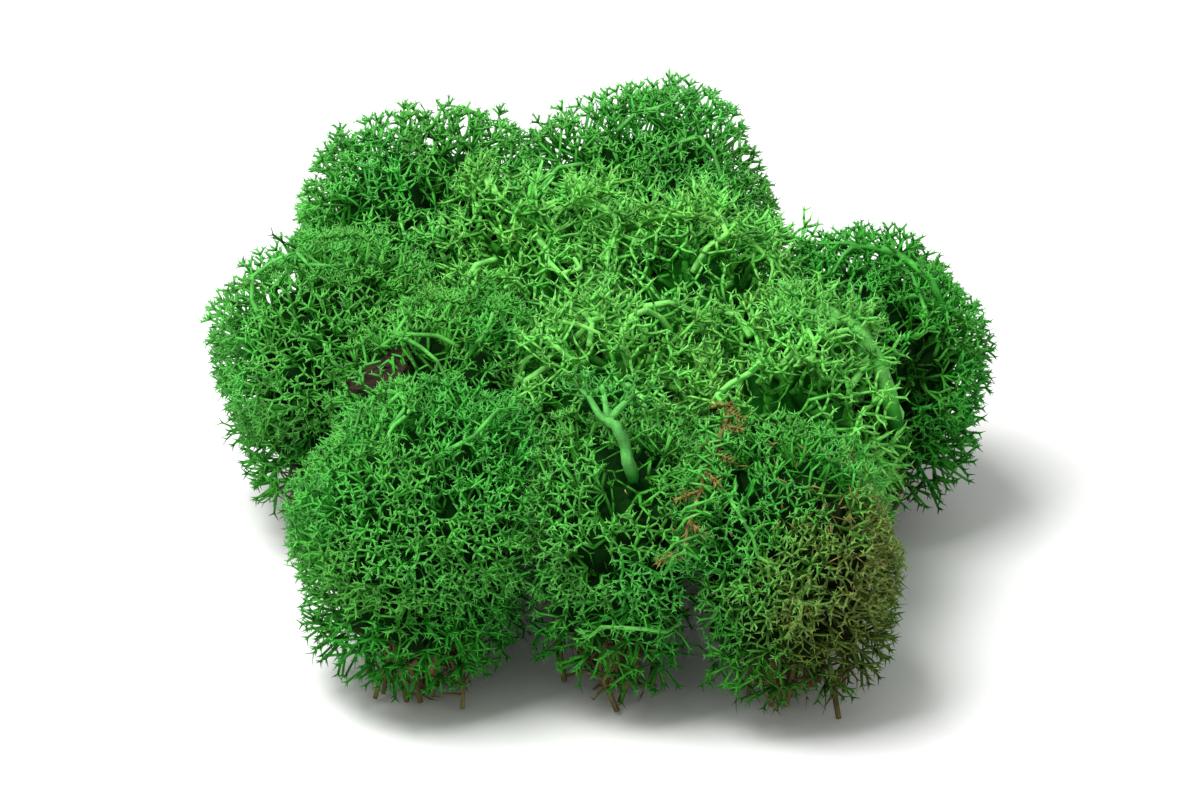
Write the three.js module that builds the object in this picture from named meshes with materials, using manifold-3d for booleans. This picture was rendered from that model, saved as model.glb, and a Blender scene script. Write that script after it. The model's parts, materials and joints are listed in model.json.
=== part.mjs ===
// A clump of reindeer lichen (Cladonia stellaris), dyed green and preserved.
//
// The clump is a cushion of heads. Each head is a tuft of forking stalks, the podetia, which
// stands on a few bare feet and ends in little stars of three points. The heads fan out from one
// point below the ground, so they are pressed together at the bottom and domed at the top.
// A dry heather sprig and a flake of bark lie caught between them.
//
// Millimetres, +Z up, +X to the right of the side that is shown first, which faces -Y.

import * as THREE from "three";
import { ConvexGeometry } from "three/addons/geometries/ConvexGeometry.js";
import { mergeVertices } from "three/addons/utils/BufferGeometryUtils.js";
import Module from "manifold-3d";

const wasm = await Module();
wasm.setup();

// ---------------------------------------------------------------- driving dimensions

const CROWN_LEVEL = 31; // height of the middle heads' centres above the ground
const FAN_DEPTH = 120; // the point that all heads fan out from lies this far below the ground
const GAP = 0.3; // clear space between two neighbouring pieces

// Each head: where it stands, its radius, how far it is lifted out of the dome, the number of
// directions that its podetia are spread over, and the share of its reach that is tangled core.
// The two at the back and the one at the right are dense domes; those in the middle are open nets.
const HEADS = [
  { name: "head_back_left", x: -21, y: 41, radius: 20, lift: 4, points: 24, core: 0.6 },
  { name: "head_back", x: 11, y: 43, radius: 20.5, lift: 5, points: 24, core: 0.6 },
  { name: "head_middle", x: -6, y: 16, radius: 19, lift: 0, points: 20, core: 0.5 },
  { name: "head_right", x: 42, y: 10, radius: 19, lift: 0, points: 22, core: 0.6 },
  { name: "head_centre_right", x: 18, y: 12, radius: 18, lift: 0, points: 18, core: 0.5 },
  { name: "head_left", x: -34, y: 8, radius: 19, lift: 1, points: 22, core: 0.55 },
  { name: "head_centre_left", x: -17, y: -11, radius: 17, lift: 1, points: 20, core: 0.55 },
  { name: "head_centre", x: 6, y: -12, radius: 17, lift: 0, points: 18, core: 0.5 },
  { name: "head_front_right", x: 30, y: -14, radius: 17.5, lift: -1, points: 19, core: 0.5 },
  { name: "head_front_left", x: -20, y: -35, radius: 19.5, lift: 0, points: 22, core: 0.58 },
  { name: "head_front", x: 7, y: -37, radius: 17, lift: -2, points: 19, core: 0.55 },
  { name: "head_corner", x: 31, y: -39, radius: 18, lift: 0, points: 21, core: 0.55 },
];
const OPEN_CORE = 0.5; // heads with no more core than this are open nets, of a yellower green

const STRETCH = 1.15; // a head's height against its width
const FORK_DROP = 0.3; // the podetia fork from a point this many radii below a head's centre
const PRESSED = 0.8; // a side is pressed flat where a neighbour cuts it shorter than this share
const SHORTEST = 3.5; // no podetium grows where there is less room than this above the core
const UNDERSIDE = -0.4; // no podetium grows from a facet that looks further down than this
const LOWEST_TWIG = 7; // no side twig comes closer to the ground than this
const LUMPS = 0.06; // swell of a head's outline, as a share of its radius

const NECK_RADIUS = 1.35; // a podetium where it leaves the core
const FORK_RADIUS = 0.8; // a branch below its star
const NECK_AT = 0.16; // places along a podetium, from 0 at the core to 1 at the tips
const CROTCH_AT = 0.32;
const FORK_AT = 0.6;
const STAR_AT = 0.7;
const SHORT_TIP_AT = 0.84;
const STAR_SPREAD = 0.72; // how far a star's points lean towards the edge of their own space

const FEET = 4; // bare stalks under each head
const FOOT_SIDES = 5;
const FOOT_RADIUS = 1.9; // a bare stalk at the ground
const FOOT_TOP_RADIUS = 1.2; // and where it enters the core
const FOOT_SPREAD = 0.27; // ring on which the stalks stand, as a share of the head's radius
const KNEE_SPREAD = 0.1; // how far they bow out halfway up
const TOP_SPREAD = 0.12; // and how far apart they enter the core
const FOOT_SWAY = 3; // sideways lean of a stalk's middle, at most
const BURIED = 2; // the stalks are made this much too long, and cut flat on the ground
const PAD_HEAD = "head_centre"; // it has the matted foot that the clump rests flat on
const PAD_RADIUS = 4.5;
const PAD_HEIGHT = 6;
const PAD_SIDES = 7;

// The dry heather sprig: the line that it lies along, its stem, and its leaves.
const SPRIG_PATH = [[24, -26, 41], [22, -35, 40], [19, -45, 37.5], [16, -54, 31.5]];
const SPRIG_RADII = [0.9, 0.8, 0.7, 0.5];
const SPRIG_SIDES = 5;
const LEAVES = 14;
const LEAF_LENGTH = 3.2;
const LEAF_RADIUS = 0.55;
const LEAF_TIP_RADIUS = 0.25;
const LEAF_TURN = 2.4; // radians round the stem from one leaf to the next
const LEAF_LEAN = 0.9; // forward lean of a leaf, as a slope

// The flake of bark: its outline, how much it is curled, and where it is wedged.
const FLAKE_OUTLINE = [[-5, -1], [-3, -2.4], [1, -2.6], [4, -1.8], [5, 0.4], [2.4, 2.3], [-2.6, 2]];
const FLAKE_THICKNESS = 0.9;
const FLAKE_CURL = 0.05; // rise per square millimetre along the flake
const FLAKE_PLACE = [-27, -17.5, 41];
const FLAKE_TURN = [0.45, -0.3, 0.4]; // radians about X, Y and Z

const EMERALD = 0x2f8030;
const LEAF_GREEN = 0x468e36;
const DRY_HEATHER = 0x8a5a2c;
const DARK_BARK = 0x4a3526;

// ---------------------------------------------------------------- helpers

const UP = new THREE.Vector3(0, 0, 1);
const fanPoint = new THREE.Vector3(0, 0, -FAN_DEPTH);

function seededRandom(seed) {
  let state = seed;
  return () => {
    state = (state * 1664525 + 1013904223) % 4294967296;
    return state / 4294967296;
  };
}

function mix(a, b, share) {
  return new THREE.Vector3().lerpVectors(a, b, share);
}

function middle(...points) {
  const sum = new THREE.Vector3();
  for (const point of points) sum.add(point);
  return sum.divideScalar(points.length);
}

// Any closed geometry with its shared vertices merged.
function sharedVertices(geometry) {
  const plain = geometry.clone();
  plain.deleteAttribute("normal");
  plain.deleteAttribute("uv");
  return mergeVertices(plain, 1e-5);
}

// A list of corner points, three to a triangle, becomes a closed geometry.
function closedGeometry(corners) {
  return sharedVertices(new THREE.BufferGeometry().setFromPoints(corners));
}

function solidOf(geometry) {
  const merged = sharedVertices(geometry);
  return new wasm.Manifold(new wasm.Mesh({
    numProp: 3,
    vertProperties: new Float32Array(merged.attributes.position.array),
    triVerts: new Uint32Array(merged.index.array),
  }));
}

// The largest body of a cut solid; loose scraps are dropped.
function geometryOf(solid) {
  const bodies = solid.decompose().sort((a, b) => b.volume() - a.volume());
  const mesh = bodies[0].getMesh();
  const geometry = new THREE.BufferGeometry();
  geometry.setAttribute("position", new THREE.BufferAttribute(mesh.vertProperties, 3));
  geometry.setIndex(new THREE.BufferAttribute(mesh.triVerts, 1));
  geometry.computeVertexNormals();
  return geometry;
}

// A closed stalk through the given points, with one radius for each of them.
function taperedStalk(path, radii, sides, turn = 0) {
  const rings = path.map((point, i) => {
    const ahead = path[Math.min(i + 1, path.length - 1)];
    const behind = path[Math.max(i - 1, 0)];
    const along = new THREE.Vector3().subVectors(ahead, behind).normalize();
    const across = Math.abs(along.z) > 0.9 ? new THREE.Vector3(1, 0, 0) : UP.clone();
    const side = new THREE.Vector3().crossVectors(across, along).normalize();
    const other = new THREE.Vector3().crossVectors(along, side);
    return Array.from({ length: sides }, (_, k) => {
      const angle = turn + (k / sides) * 2 * Math.PI;
      return point.clone()
        .addScaledVector(side, Math.cos(angle) * radii[i])
        .addScaledVector(other, Math.sin(angle) * radii[i]);
    });
  });
  const corners = [];
  for (let i = 0; i + 1 < rings.length; i += 1) {
    for (let k = 0; k < sides; k += 1) {
      const next = (k + 1) % sides;
      corners.push(rings[i][k], rings[i][next], rings[i + 1][next]);
      corners.push(rings[i][k], rings[i + 1][next], rings[i + 1][k]);
    }
  }
  const first = rings[0];
  const last = rings[rings.length - 1];
  for (let k = 1; k + 1 < sides; k += 1) {
    corners.push(first[0], first[k + 1], first[k]);
    corners.push(last[0], last[k], last[k + 1]);
  }
  return closedGeometry(corners);
}

// ---------------------------------------------------------------- where the heads are

for (const head of HEADS) {
  const fanRadius = FAN_DEPTH + CROWN_LEVEL;
  const level = Math.sqrt(fanRadius ** 2 - head.x ** 2 - head.y ** 2) - FAN_DEPTH;
  head.centre = new THREE.Vector3(head.x, head.y, level + head.lift);
  head.axis = head.centre.clone().sub(fanPoint).normalize();
  head.fork = head.centre.clone().addScaledVector(head.axis, -FORK_DROP * head.radius);
}

// The flat sides along which a head meets its neighbours.
for (const head of HEADS) {
  head.sides = HEADS.filter((other) => other !== head).map((other) => {
    const normal = other.centre.clone().sub(head.centre);
    const between = normal.length();
    normal.normalize();
    const share = (between ** 2 + head.radius ** 2 - other.radius ** 2) / (2 * between);
    const distance = normal.dot(head.centre) + share - GAP / 2;
    return { normal, distance };
  });
}

// How far a head's forks reach in a direction: to its lumpy outline, or to a neighbour's side.
function outline(head, direction) {
  const wave = (a, b, c) => Math.sin(a * direction.x + b * direction.y + c * direction.z + head.x);
  const swell = 1 + LUMPS * (wave(4, 2, 1) + wave(-3, 5, 2) * 0.7 + wave(1, -4, 5) * 0.5);
  const along = direction.dot(head.axis);
  const a = 1 - along ** 2 + (along / STRETCH) ** 2;
  const b = (along * FORK_DROP) / STRETCH ** 2;
  const c = 1 - (FORK_DROP / STRETCH) ** 2;
  return (head.radius * swell * (b + Math.sqrt(b ** 2 + a * c))) / a;
}

function pressedReach(head, direction) {
  let reach = Infinity;
  for (const { normal, distance } of head.sides) {
    const slope = normal.dot(direction);
    if (slope > 0) reach = Math.min(reach, (distance - normal.dot(head.fork)) / slope);
  }
  if (direction.z < 0) reach = Math.min(reach, (head.fork.z - LOWEST_TWIG) / -direction.z);
  return reach;
}

function reachOf(head, direction) {
  return Math.min(outline(head, direction), pressedReach(head, direction));
}

// The point in a direction that lies between a radius (share 0) and the full reach (share 1).
function at(head, direction, radius, share) {
  const unit = direction.clone().normalize();
  const distance = radius + (reachOf(head, unit) - radius) * share;
  return head.fork.clone().addScaledVector(unit, distance);
}

// ---------------------------------------------------------------- the crown of a head

function directions(count, random) {
  const golden = Math.PI * (3 - Math.sqrt(5));
  const start = random() * 2 * Math.PI;
  return Array.from({ length: count }, (_, i) => {
    const height = 1 - (2 * i + 1) / count;
    const ring = Math.sqrt(1 - height ** 2);
    const turn = start + i * golden;
    return new THREE.Vector3(ring * Math.cos(turn), ring * Math.sin(turn), height);
  });
}

// Three points round a hub, each leaning to one corner of the space.
function leaningRing(hub, targets, radius) {
  return targets.map((target) => {
    return hub.clone().addScaledVector(target.clone().sub(hub).normalize(), radius);
  });
}

// Three points evenly round a hub, square to an axis, the first of them towards a target.
function evenRing(hub, axis, target, radius) {
  const lean = target.clone().sub(hub);
  lean.addScaledVector(axis, -lean.dot(axis)).normalize();
  return [0, 1, 2].map((k) => {
    const turned = lean.clone().applyAxisAngle(axis, (k * 2 * Math.PI) / 3);
    return hub.clone().addScaledVector(turned, radius);
  });
}

function collar(below, above) {
  const corners = [];
  for (let k = 0; k < 3; k += 1) {
    const next = (k + 1) % 3;
    corners.push(below[k], below[next], above[next]);
    corners.push(below[k], above[next], above[k]);
  }
  return corners;
}

// A star of three points on the end of a branch, each inside its own third of the space.
function star(head, space, base, ring, random) {
  const centre = middle(...space);
  const crotch = at(head, centre, base, STAR_AT);
  const corners = [];
  for (let k = 0; k < 3; k += 1) {
    const next = (k + 1) % 3;
    const lean = mix(centre, middle(space[k], space[next]), STAR_SPREAD);
    const tip = at(head, lean, base, SHORT_TIP_AT + (1 - SHORT_TIP_AT) * random());
    corners.push(ring[k], ring[next], tip);
    corners.push(ring[next], crotch, tip);
    corners.push(crotch, ring[k], tip);
  }
  return corners;
}

// A podetium on one facet of the core: a neck, three branches, and a star on each.
function podetium(head, space, facet, base, random) {
  const centre = middle(...space);
  const hub = at(head, centre, base, NECK_AT);
  const neck = leaningRing(hub, space.map((way) => at(head, way, base, NECK_AT)), NECK_RADIUS);
  const crotch = at(head, centre, base, CROTCH_AT);
  const corners = collar(facet, neck);
  for (let k = 0; k < 3; k += 1) {
    const next = (k + 1) % 3;
    const share = [space[k], space[next], centre];
    const way = middle(...share).normalize();
    const target = at(head, space[k], base, FORK_AT);
    const ring = evenRing(at(head, way, base, FORK_AT), way, target, FORK_RADIUS);
    corners.push(...collar([neck[k], neck[next], crotch], ring));
    corners.push(...star(head, share, base, ring, random));
  }
  return corners;
}

function crown(head, random) {
  const hull = new ConvexGeometry(directions(head.points, random));
  const points = hull.attributes.position;
  const corners = [];
  for (let i = 0; i < points.count; i += 3) {
    const space = [0, 1, 2].map((k) => {
      return new THREE.Vector3().fromBufferAttribute(points, i + k).normalize();
    });
    const radii = space.map((way) => {
      const pressed = pressedReach(head, way) < PRESSED * outline(head, way);
      return reachOf(head, way) * (pressed ? 1 : head.core);
    });
    const facet = space.map((way, k) => head.fork.clone().addScaledVector(way, radii[k]));
    const base = (radii[0] + radii[1] + radii[2]) / 3;
    const centre = middle(...space).normalize();
    const room = reachOf(head, centre) - base;
    const bare = room < SHORTEST || centre.dot(head.axis) < UNDERSIDE;
    corners.push(...(bare ? facet : podetium(head, space, facet, base, random)));
  }
  return closedGeometry(corners);
}

// ---------------------------------------------------------------- the bare feet of a head

function groundPoint(head) {
  const share = -fanPoint.z / (head.centre.z - fanPoint.z);
  return fanPoint.clone().lerp(head.centre, share);
}

function stalks(head, random) {
  const stand = groundPoint(head);
  const start = random() * 2 * Math.PI;
  const radii = [FOOT_RADIUS, (FOOT_RADIUS + FOOT_TOP_RADIUS) / 2, FOOT_TOP_RADIUS];
  const list = [];
  for (let k = 0; k < FEET; k += 1) {
    const turn = start + ((k + 0.3 * random()) / FEET) * 2 * Math.PI;
    const out = new THREE.Vector3(Math.cos(turn), Math.sin(turn), 0);
    const sway = new THREE.Vector3(-out.y, out.x, 0).multiplyScalar(FOOT_SWAY * (random() - 0.5));
    const bottom = stand.clone().addScaledVector(out, FOOT_SPREAD * head.radius);
    bottom.addScaledVector(head.axis, -BURIED);
    const top = head.fork.clone().addScaledVector(out, TOP_SPREAD * head.radius);
    const knee = mix(bottom, top, 0.5).addScaledVector(out, KNEE_SPREAD * head.radius).add(sway);
    list.push(taperedStalk([bottom, knee, top], radii, FOOT_SIDES, turn));
  }
  if (head.name === PAD_HEAD) {
    const bottom = stand.clone().addScaledVector(UP, -BURIED);
    const shoulder = stand.clone().addScaledVector(UP, PAD_HEIGHT);
    const taper = [PAD_RADIUS, PAD_RADIUS, FOOT_RADIUS];
    list.push(taperedStalk([bottom, shoulder, head.fork], taper, PAD_SIDES));
  }
  return list;
}

const ground = solidOf(new THREE.BoxGeometry(400, 400, 40).translate(0, 0, -20));

// ---------------------------------------------------------------- what lies caught between heads

// The sprig as one solid, or with some swell the space that it needs.
function heatherSprig(swell) {
  const line = new THREE.CatmullRomCurve3(SPRIG_PATH.map((point) => new THREE.Vector3(...point)));
  const stem = SPRIG_PATH.map((_, i) => line.getPoint(i / (SPRIG_PATH.length - 1)));
  const radii = SPRIG_RADII.map((radius) => radius + swell);
  let solid = solidOf(taperedStalk(stem, radii, SPRIG_SIDES));
  for (let k = 0; k < LEAVES; k += 1) {
    const along = (k + 0.7) / (LEAVES + 0.4);
    const tangent = line.getTangent(along);
    const lean = new THREE.Vector3().crossVectors(tangent, UP).normalize();
    lean.applyAxisAngle(tangent, k * LEAF_TURN).addScaledVector(tangent, LEAF_LEAN).normalize();
    const root = line.getPoint(along).addScaledVector(lean, -swell);
    const tip = root.clone().addScaledVector(lean, LEAF_LENGTH + 2 * swell);
    const leaf = taperedStalk([root, tip], [LEAF_RADIUS + swell, LEAF_TIP_RADIUS + swell], 3);
    solid = solid.add(solidOf(leaf));
  }
  return solid;
}

// The flake lies flat about its own origin, curled up at both ends.
function barkFlake(swell) {
  const outline = new THREE.Shape(FLAKE_OUTLINE.map((point) => new THREE.Vector2(...point)));
  const depth = FLAKE_THICKNESS;
  const flake = new THREE.ExtrudeGeometry(outline, { depth, bevelEnabled: false });
  flake.translate(0, 0, -depth / 2);
  flake.computeBoundingBox();
  const size = flake.boundingBox.getSize(new THREE.Vector3());
  flake.scale(1 + (2 * swell) / size.x, 1 + (2 * swell) / size.y, 1 + (2 * swell) / size.z);
  const points = flake.attributes.position;
  for (let i = 0; i < points.count; i += 1) {
    points.setZ(i, points.getZ(i) + FLAKE_CURL * points.getX(i) ** 2);
  }
  return sharedVertices(flake);
}

// ---------------------------------------------------------------- the clump

function dry(color) {
  return new THREE.MeshStandardMaterial({ color, roughness: 0.9, metalness: 0 });
}

const sprig = new THREE.Mesh(geometryOf(heatherSprig(0)), dry(DRY_HEATHER));
sprig.name = "heather_sprig";

const flake = new THREE.Mesh(barkFlake(0), dry(DARK_BARK));
flake.name = "bark_flake";
flake.position.set(...FLAKE_PLACE);
flake.rotation.set(...FLAKE_TURN);
flake.updateMatrix();

const clump = new THREE.Group();
clump.name = "reindeer_moss_clump";
clump.add(sprig, flake);

// What the crowns are cut back from: the ground, and the room that the litter needs.
const cutters = [
  ground,
  heatherSprig(GAP),
  solidOf(barkFlake(GAP).applyMatrix4(flake.matrix)),
];

HEADS.forEach((head, number) => {
  const random = seededRandom(1000 + 77 * number);
  let solid = solidOf(crown(head, random));
  for (const stalk of stalks(head, random)) solid = solid.add(solidOf(stalk));
  for (const cutter of cutters) solid = solid.subtract(cutter);
  const geometry = geometryOf(solid).translate(...head.centre.clone().negate().toArray());
  const mesh = new THREE.Mesh(geometry, dry(head.core > OPEN_CORE ? EMERALD : LEAF_GREEN));
  mesh.name = head.name;
  mesh.position.copy(head.centre);
  clump.add(mesh);
});

// The origin is the middle of the clump's footprint, on the ground.
const extent = new THREE.Box3().setFromObject(clump, true);
clump.position.x = -(extent.min.x + extent.max.x) / 2;
clump.position.y = -(extent.min.y + extent.max.y) / 2;

export default clump;
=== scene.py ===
# %% [markdown]
# # A clump of dyed reindeer moss
#
# Reindeer moss is a lichen. Its body is a bush of hollow stalks, the podetia, which fork every few
# millimetres until they end in small stars. Twelve such bushes, the heads, lean against each other in
# this clump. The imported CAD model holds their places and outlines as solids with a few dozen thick
# branches each. This script grows the real, fine branches in the same outlines.

# %% Load the fixed frame
import json
import math
import random

import bmesh
import bpy
import numpy as np
from mathutils import Matrix, Vector, bvhtree, kdtree, noise


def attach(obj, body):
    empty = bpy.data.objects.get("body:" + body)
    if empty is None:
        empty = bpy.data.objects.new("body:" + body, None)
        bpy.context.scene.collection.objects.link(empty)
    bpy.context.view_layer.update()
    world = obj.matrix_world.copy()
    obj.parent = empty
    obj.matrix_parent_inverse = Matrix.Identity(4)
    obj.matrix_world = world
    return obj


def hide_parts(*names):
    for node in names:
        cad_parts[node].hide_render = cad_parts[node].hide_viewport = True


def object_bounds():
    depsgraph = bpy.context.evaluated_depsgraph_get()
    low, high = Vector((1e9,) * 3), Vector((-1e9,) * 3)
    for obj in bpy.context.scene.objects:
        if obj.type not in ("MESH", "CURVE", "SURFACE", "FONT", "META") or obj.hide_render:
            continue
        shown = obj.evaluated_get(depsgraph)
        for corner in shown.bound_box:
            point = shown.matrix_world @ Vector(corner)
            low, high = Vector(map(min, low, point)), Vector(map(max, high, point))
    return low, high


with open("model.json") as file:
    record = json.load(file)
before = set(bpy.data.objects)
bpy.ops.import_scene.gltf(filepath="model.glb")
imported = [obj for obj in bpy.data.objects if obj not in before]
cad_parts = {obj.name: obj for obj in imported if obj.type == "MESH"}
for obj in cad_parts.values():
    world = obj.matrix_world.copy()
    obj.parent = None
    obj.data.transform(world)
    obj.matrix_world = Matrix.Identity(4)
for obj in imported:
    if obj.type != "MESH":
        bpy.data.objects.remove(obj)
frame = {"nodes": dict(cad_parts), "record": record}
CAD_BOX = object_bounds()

MM = 0.001
scene = bpy.context.scene
print("clump", [round(b - a, 4) for a, b in zip(*CAD_BOX)], "m, nodes", len(frame["nodes"]))

# %% [markdown]
# ## The camera
#
# The clump is seen from the side with its low front, from a good way off and about a third of the way
# up to overhead. A long lens from far away keeps the heads at the back as large as those in front, as
# a product view does. A short lens close by would also fill the picture, but it would spread the heads.

# %% Camera
CAMERA_HEIGHT_DEG = 31.4
CAMERA_DISTANCE = 1.46
LENS_MM = 295
AIM = Vector((0, -0.001, 0.0235))

height = math.radians(CAMERA_HEIGHT_DEG)
camera = bpy.data.objects.new("camera", bpy.data.cameras.new("camera"))
scene.collection.objects.link(camera)
camera.location = AIM + Vector((0, -math.cos(height), math.sin(height))) * CAMERA_DISTANCE
camera.rotation_euler = (math.pi / 2 - height, 0, 0)
camera.data.lens = LENS_MM
scene.camera = camera
print("camera", CAMERA_DISTANCE, "m away,", CAMERA_HEIGHT_DEG, "degrees up")

# %% [markdown]
# ## Making a material
#
# A finish is a small tree of shader nodes. The editor shows such a tree as boxes and wires. In a script
# each box is one call, so one function adds any node with its settings, its inputs and the wires to it.
# Colours are written as sRGB hex values, as paint charts give them, and turned to linear ones.

# %% Shader nodes
def linear(hex_colour):
    """An sRGB hex colour such as "#4f9d45" as the linear RGBA that shader sockets take."""
    parts = [int(hex_colour[i:i + 2], 16) / 255 for i in (1, 3, 5)]
    return tuple(p / 12.92 if p <= 0.04045 else ((p + 0.055) / 1.055) ** 2.4 for p in parts) + (1.0,)


def shader_node(tree, kind, inputs=None, stops=None, **settings):
    """Adds one shader node. An input is a number or colour, or the output socket that it is linked to.
    Stops are those of a colour ramp, as {place: hex colour} in rising order."""
    node = tree.nodes.new(kind)
    for key, value in settings.items():
        setattr(node, key, value)
    for key, value in (inputs or {}).items():
        if isinstance(value, bpy.types.NodeSocket):
            tree.links.new(value, node.inputs[key])
        else:
            node.inputs[key].default_value = value
    if stops:
        ends = node.color_ramp.elements
        (first, first_colour), *between, (last, last_colour) = stops.items()
        ends[0].position, ends[0].color = first, linear(first_colour)
        ends[1].position, ends[1].color = last, linear(last_colour)
        for place, colour in between:
            ends.new(place).color = linear(colour)
    return node


def new_material(name):
    """An empty material and its node tree."""
    material = bpy.data.materials.new(name)
    material.use_nodes = True
    tree = material.node_tree
    tree.nodes.clear()
    return material, tree


def finish_material(tree, inputs):
    """Adds the Principled shader with these inputs and links it to the output."""
    shader = shader_node(tree, "ShaderNodeBsdfPrincipled", inputs)
    shader_node(tree, "ShaderNodeOutputMaterial", {"Surface": shader.outputs["BSDF"]})
    print("material with", len(tree.nodes), "nodes")


print("mid green", [round(c, 3) for c in linear("#36a332")])

# %% [markdown]
# ## The floor and the light
#
# A pale table, one wide soft lamp above and a bright room round it. Between the branches of a lichen
# the light has to find its way in and out again, and that makes the hollows dark. So the lamp is large
# and high. The inside of each head is darker still as painted shade: the matted cores and two dark
# greens in the lichen's colour ramp.

# %% Floor
FLOOR_SIZE = 6.0
# Nine mottles to the metre, each about 111 mm across.
MOTTLE_SIZE = 1000 / 9 * MM


def table_laminate():
    """Matt white laminate: a faint unevenness in its tone, no pattern."""
    material, tree = new_material("matt_white_laminate")
    place = shader_node(tree, "ShaderNodeTexCoord").outputs["Object"]
    mottle = shader_node(
        tree, "ShaderNodeTexNoise", {"Vector": place, "Scale": 1 / MOTTLE_SIZE, "Detail": 3.0},
    )
    shade = shader_node(
        tree, "ShaderNodeMix",
        {"Factor": mottle.outputs["Fac"], "A": linear("#f3f3f1"), "B": linear("#fafaf9")},
        data_type="RGBA",
    )
    finish_material(tree, {"Base Color": shade.outputs["Result"], "Roughness": 0.6})
    return material


floor_mesh = bmesh.new()
bmesh.ops.create_grid(floor_mesh, x_segments=1, y_segments=1, size=FLOOR_SIZE / 2)
floor = bpy.data.objects.new("table_top", bpy.data.meshes.new("table_top"))
floor_mesh.to_mesh(floor.data)
floor_mesh.free()
floor.data.materials.append(table_laminate())
scene.collection.objects.link(floor)
print("floor", FLOOR_SIZE, "m wide")

# %% Lamp and room
LAMP_SIZE = 0.45
LAMP_PLACE = Vector((-0.28, -0.12, 0.80))
LAMP_WATTS = 9.0
ROOM_LIGHT = 0.52

lamp = bpy.data.objects.new("soft_lamp", bpy.data.lights.new("soft_lamp", "AREA"))
lamp.data.size = LAMP_SIZE
lamp.data.energy = LAMP_WATTS
lamp.location = LAMP_PLACE
lamp.rotation_euler = (AIM - LAMP_PLACE).to_track_quat("-Z", "Y").to_euler()
scene.collection.objects.link(lamp)

room = bpy.data.worlds.new("bright_room")
scene.world = room
room.use_nodes = True
room.node_tree.nodes["Background"].inputs["Color"].default_value = linear("#ffffff")
room.node_tree.nodes["Background"].inputs["Strength"].default_value = ROOM_LIGHT
scene.view_settings.view_transform = "Standard"
print("lamp", LAMP_SIZE, "m wide,", round((AIM - LAMP_PLACE).length, 2), "m away")

# %% [markdown]
# ## Where each head may grow
#
# The real head fills the room that its neighbours leave it. The solid in the frame already has that
# shape, so its points are asked how far the head reaches in a direction. A ball of the same radius
# would be simpler, but it would lose the flat sides where two heads press together. Low down, the
# branches of a real head hang in a ragged skirt, so there the reach is drawn out towards the ground.

# %% Even directions
GOLDEN_TURN = math.pi * (3 - math.sqrt(5))


def even_directions(count, turn=0.0):
    """Unit vectors spread evenly over the whole ball, from the top down."""
    found = []
    for i in range(count):
        up = 1 - (2 * i + 1) / count
        flat = math.sqrt(1 - up * up)
        angle = turn + i * GOLDEN_TURN
        found.append(Vector((flat * math.cos(angle), flat * math.sin(angle), up)))
    return found


def search_tree(points):
    """A tree that finds the nearest of these points."""
    tree = kdtree.KDTree(len(points))
    for i, point in enumerate(points):
        tree.insert(point, i)
    tree.balance()
    return tree


print("directions turn by", round(math.degrees(GOLDEN_TURN), 1), "degrees from each to the next")

# %% The reach of a head
# The crown is what stands above CROWN_FROM of a head's height. Its heart is at HEART_LEVEL of it.
CROWN_FROM = 0.45
HEART_LEVEL = 0.5
# A probe is a direction whose reach is kept: that of the furthest among the corners nearest to it.
PROBES = 300
CORNERS_ASKED = 10
PROBES_ASKED = 4
PROBE_BLUR = 0.02
# The skirt goes SKIRT_SHARE of the way out to an upright wall, and down to SKIRT_LEVEL over the ground.
SKIRT_LEVEL = 4 * MM
SKIRT_SHARE = 0.8
SKIRT_FLATTEST = 0.3
SKIRT_LEAST = 0.6


class HeadShape:
    """A head's heart, and how far the head reaches from it in any direction."""

    def __init__(self, solid):
        corners = sorted({tuple(round(x, 6) for x in v.co) for v in solid.data.vertices})
        self.top = max(c[2] for c in corners)
        crown = [Vector(c) for c in corners if c[2] > CROWN_FROM * self.top]
        middle = sum(crown, Vector()) / len(crown)
        self.heart = Vector((middle.x, middle.y, HEART_LEVEL * self.top))
        arms = [c - self.heart for c in crown]
        lengths = [a.length for a in arms]
        corner_tree = search_tree([a.normalized() for a in arms])
        probes = even_directions(PROBES)
        self.tree = search_tree(probes)
        nearest = [corner_tree.find_n(p, CORNERS_ASKED) for p in probes]
        self.reaches = [max(lengths[i] for _, i, _ in found) for found in nearest]
        self.radius = sum(self.reaches) / PROBES
        self.reaches = [self.hanging(p, r) for p, r in zip(probes, self.reaches)]

    def hanging(self, direction, reach):
        """The reach with the lower branches hanging straight down, most of the way to the ground."""
        if direction.z >= 0:
            return reach
        wall = reach / max(SKIRT_FLATTEST, math.sqrt(1 - direction.z ** 2))
        ground = (self.heart.z - SKIRT_LEVEL) / -direction.z
        return max(SKIRT_LEAST * reach, min(reach + SKIRT_SHARE * (wall - reach), ground))

    def reach(self, direction, reaches=None):
        """The mean of the nearest probes, the nearest of them counting most."""
        reaches = reaches or self.reaches
        found = self.tree.find_n(direction, PROBES_ASKED)
        near = [(reaches[i], 1 / (gap + PROBE_BLUR)) for _, i, gap in found]
        return sum(r * w for r, w in near) / sum(w for _, w in near)

    def own_reach(self, direction):
        """The reach before the valleys between the heads were filled."""
        return self.reach(direction, self.own_reaches)

    def holds(self, point):
        """True where the point is inside the head."""
        arm = point - self.heart
        return arm.length < self.reach(arm.normalized())


shapes = {n: HeadShape(o) for n, o in frame["nodes"].items() if n.startswith("head_")}
for name, shape in shapes.items():
    heart = [round(x / MM, 1) for x in shape.heart]
    print(name, "heart", heart, "mean reach", round(shape.radius / MM, 1))

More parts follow.
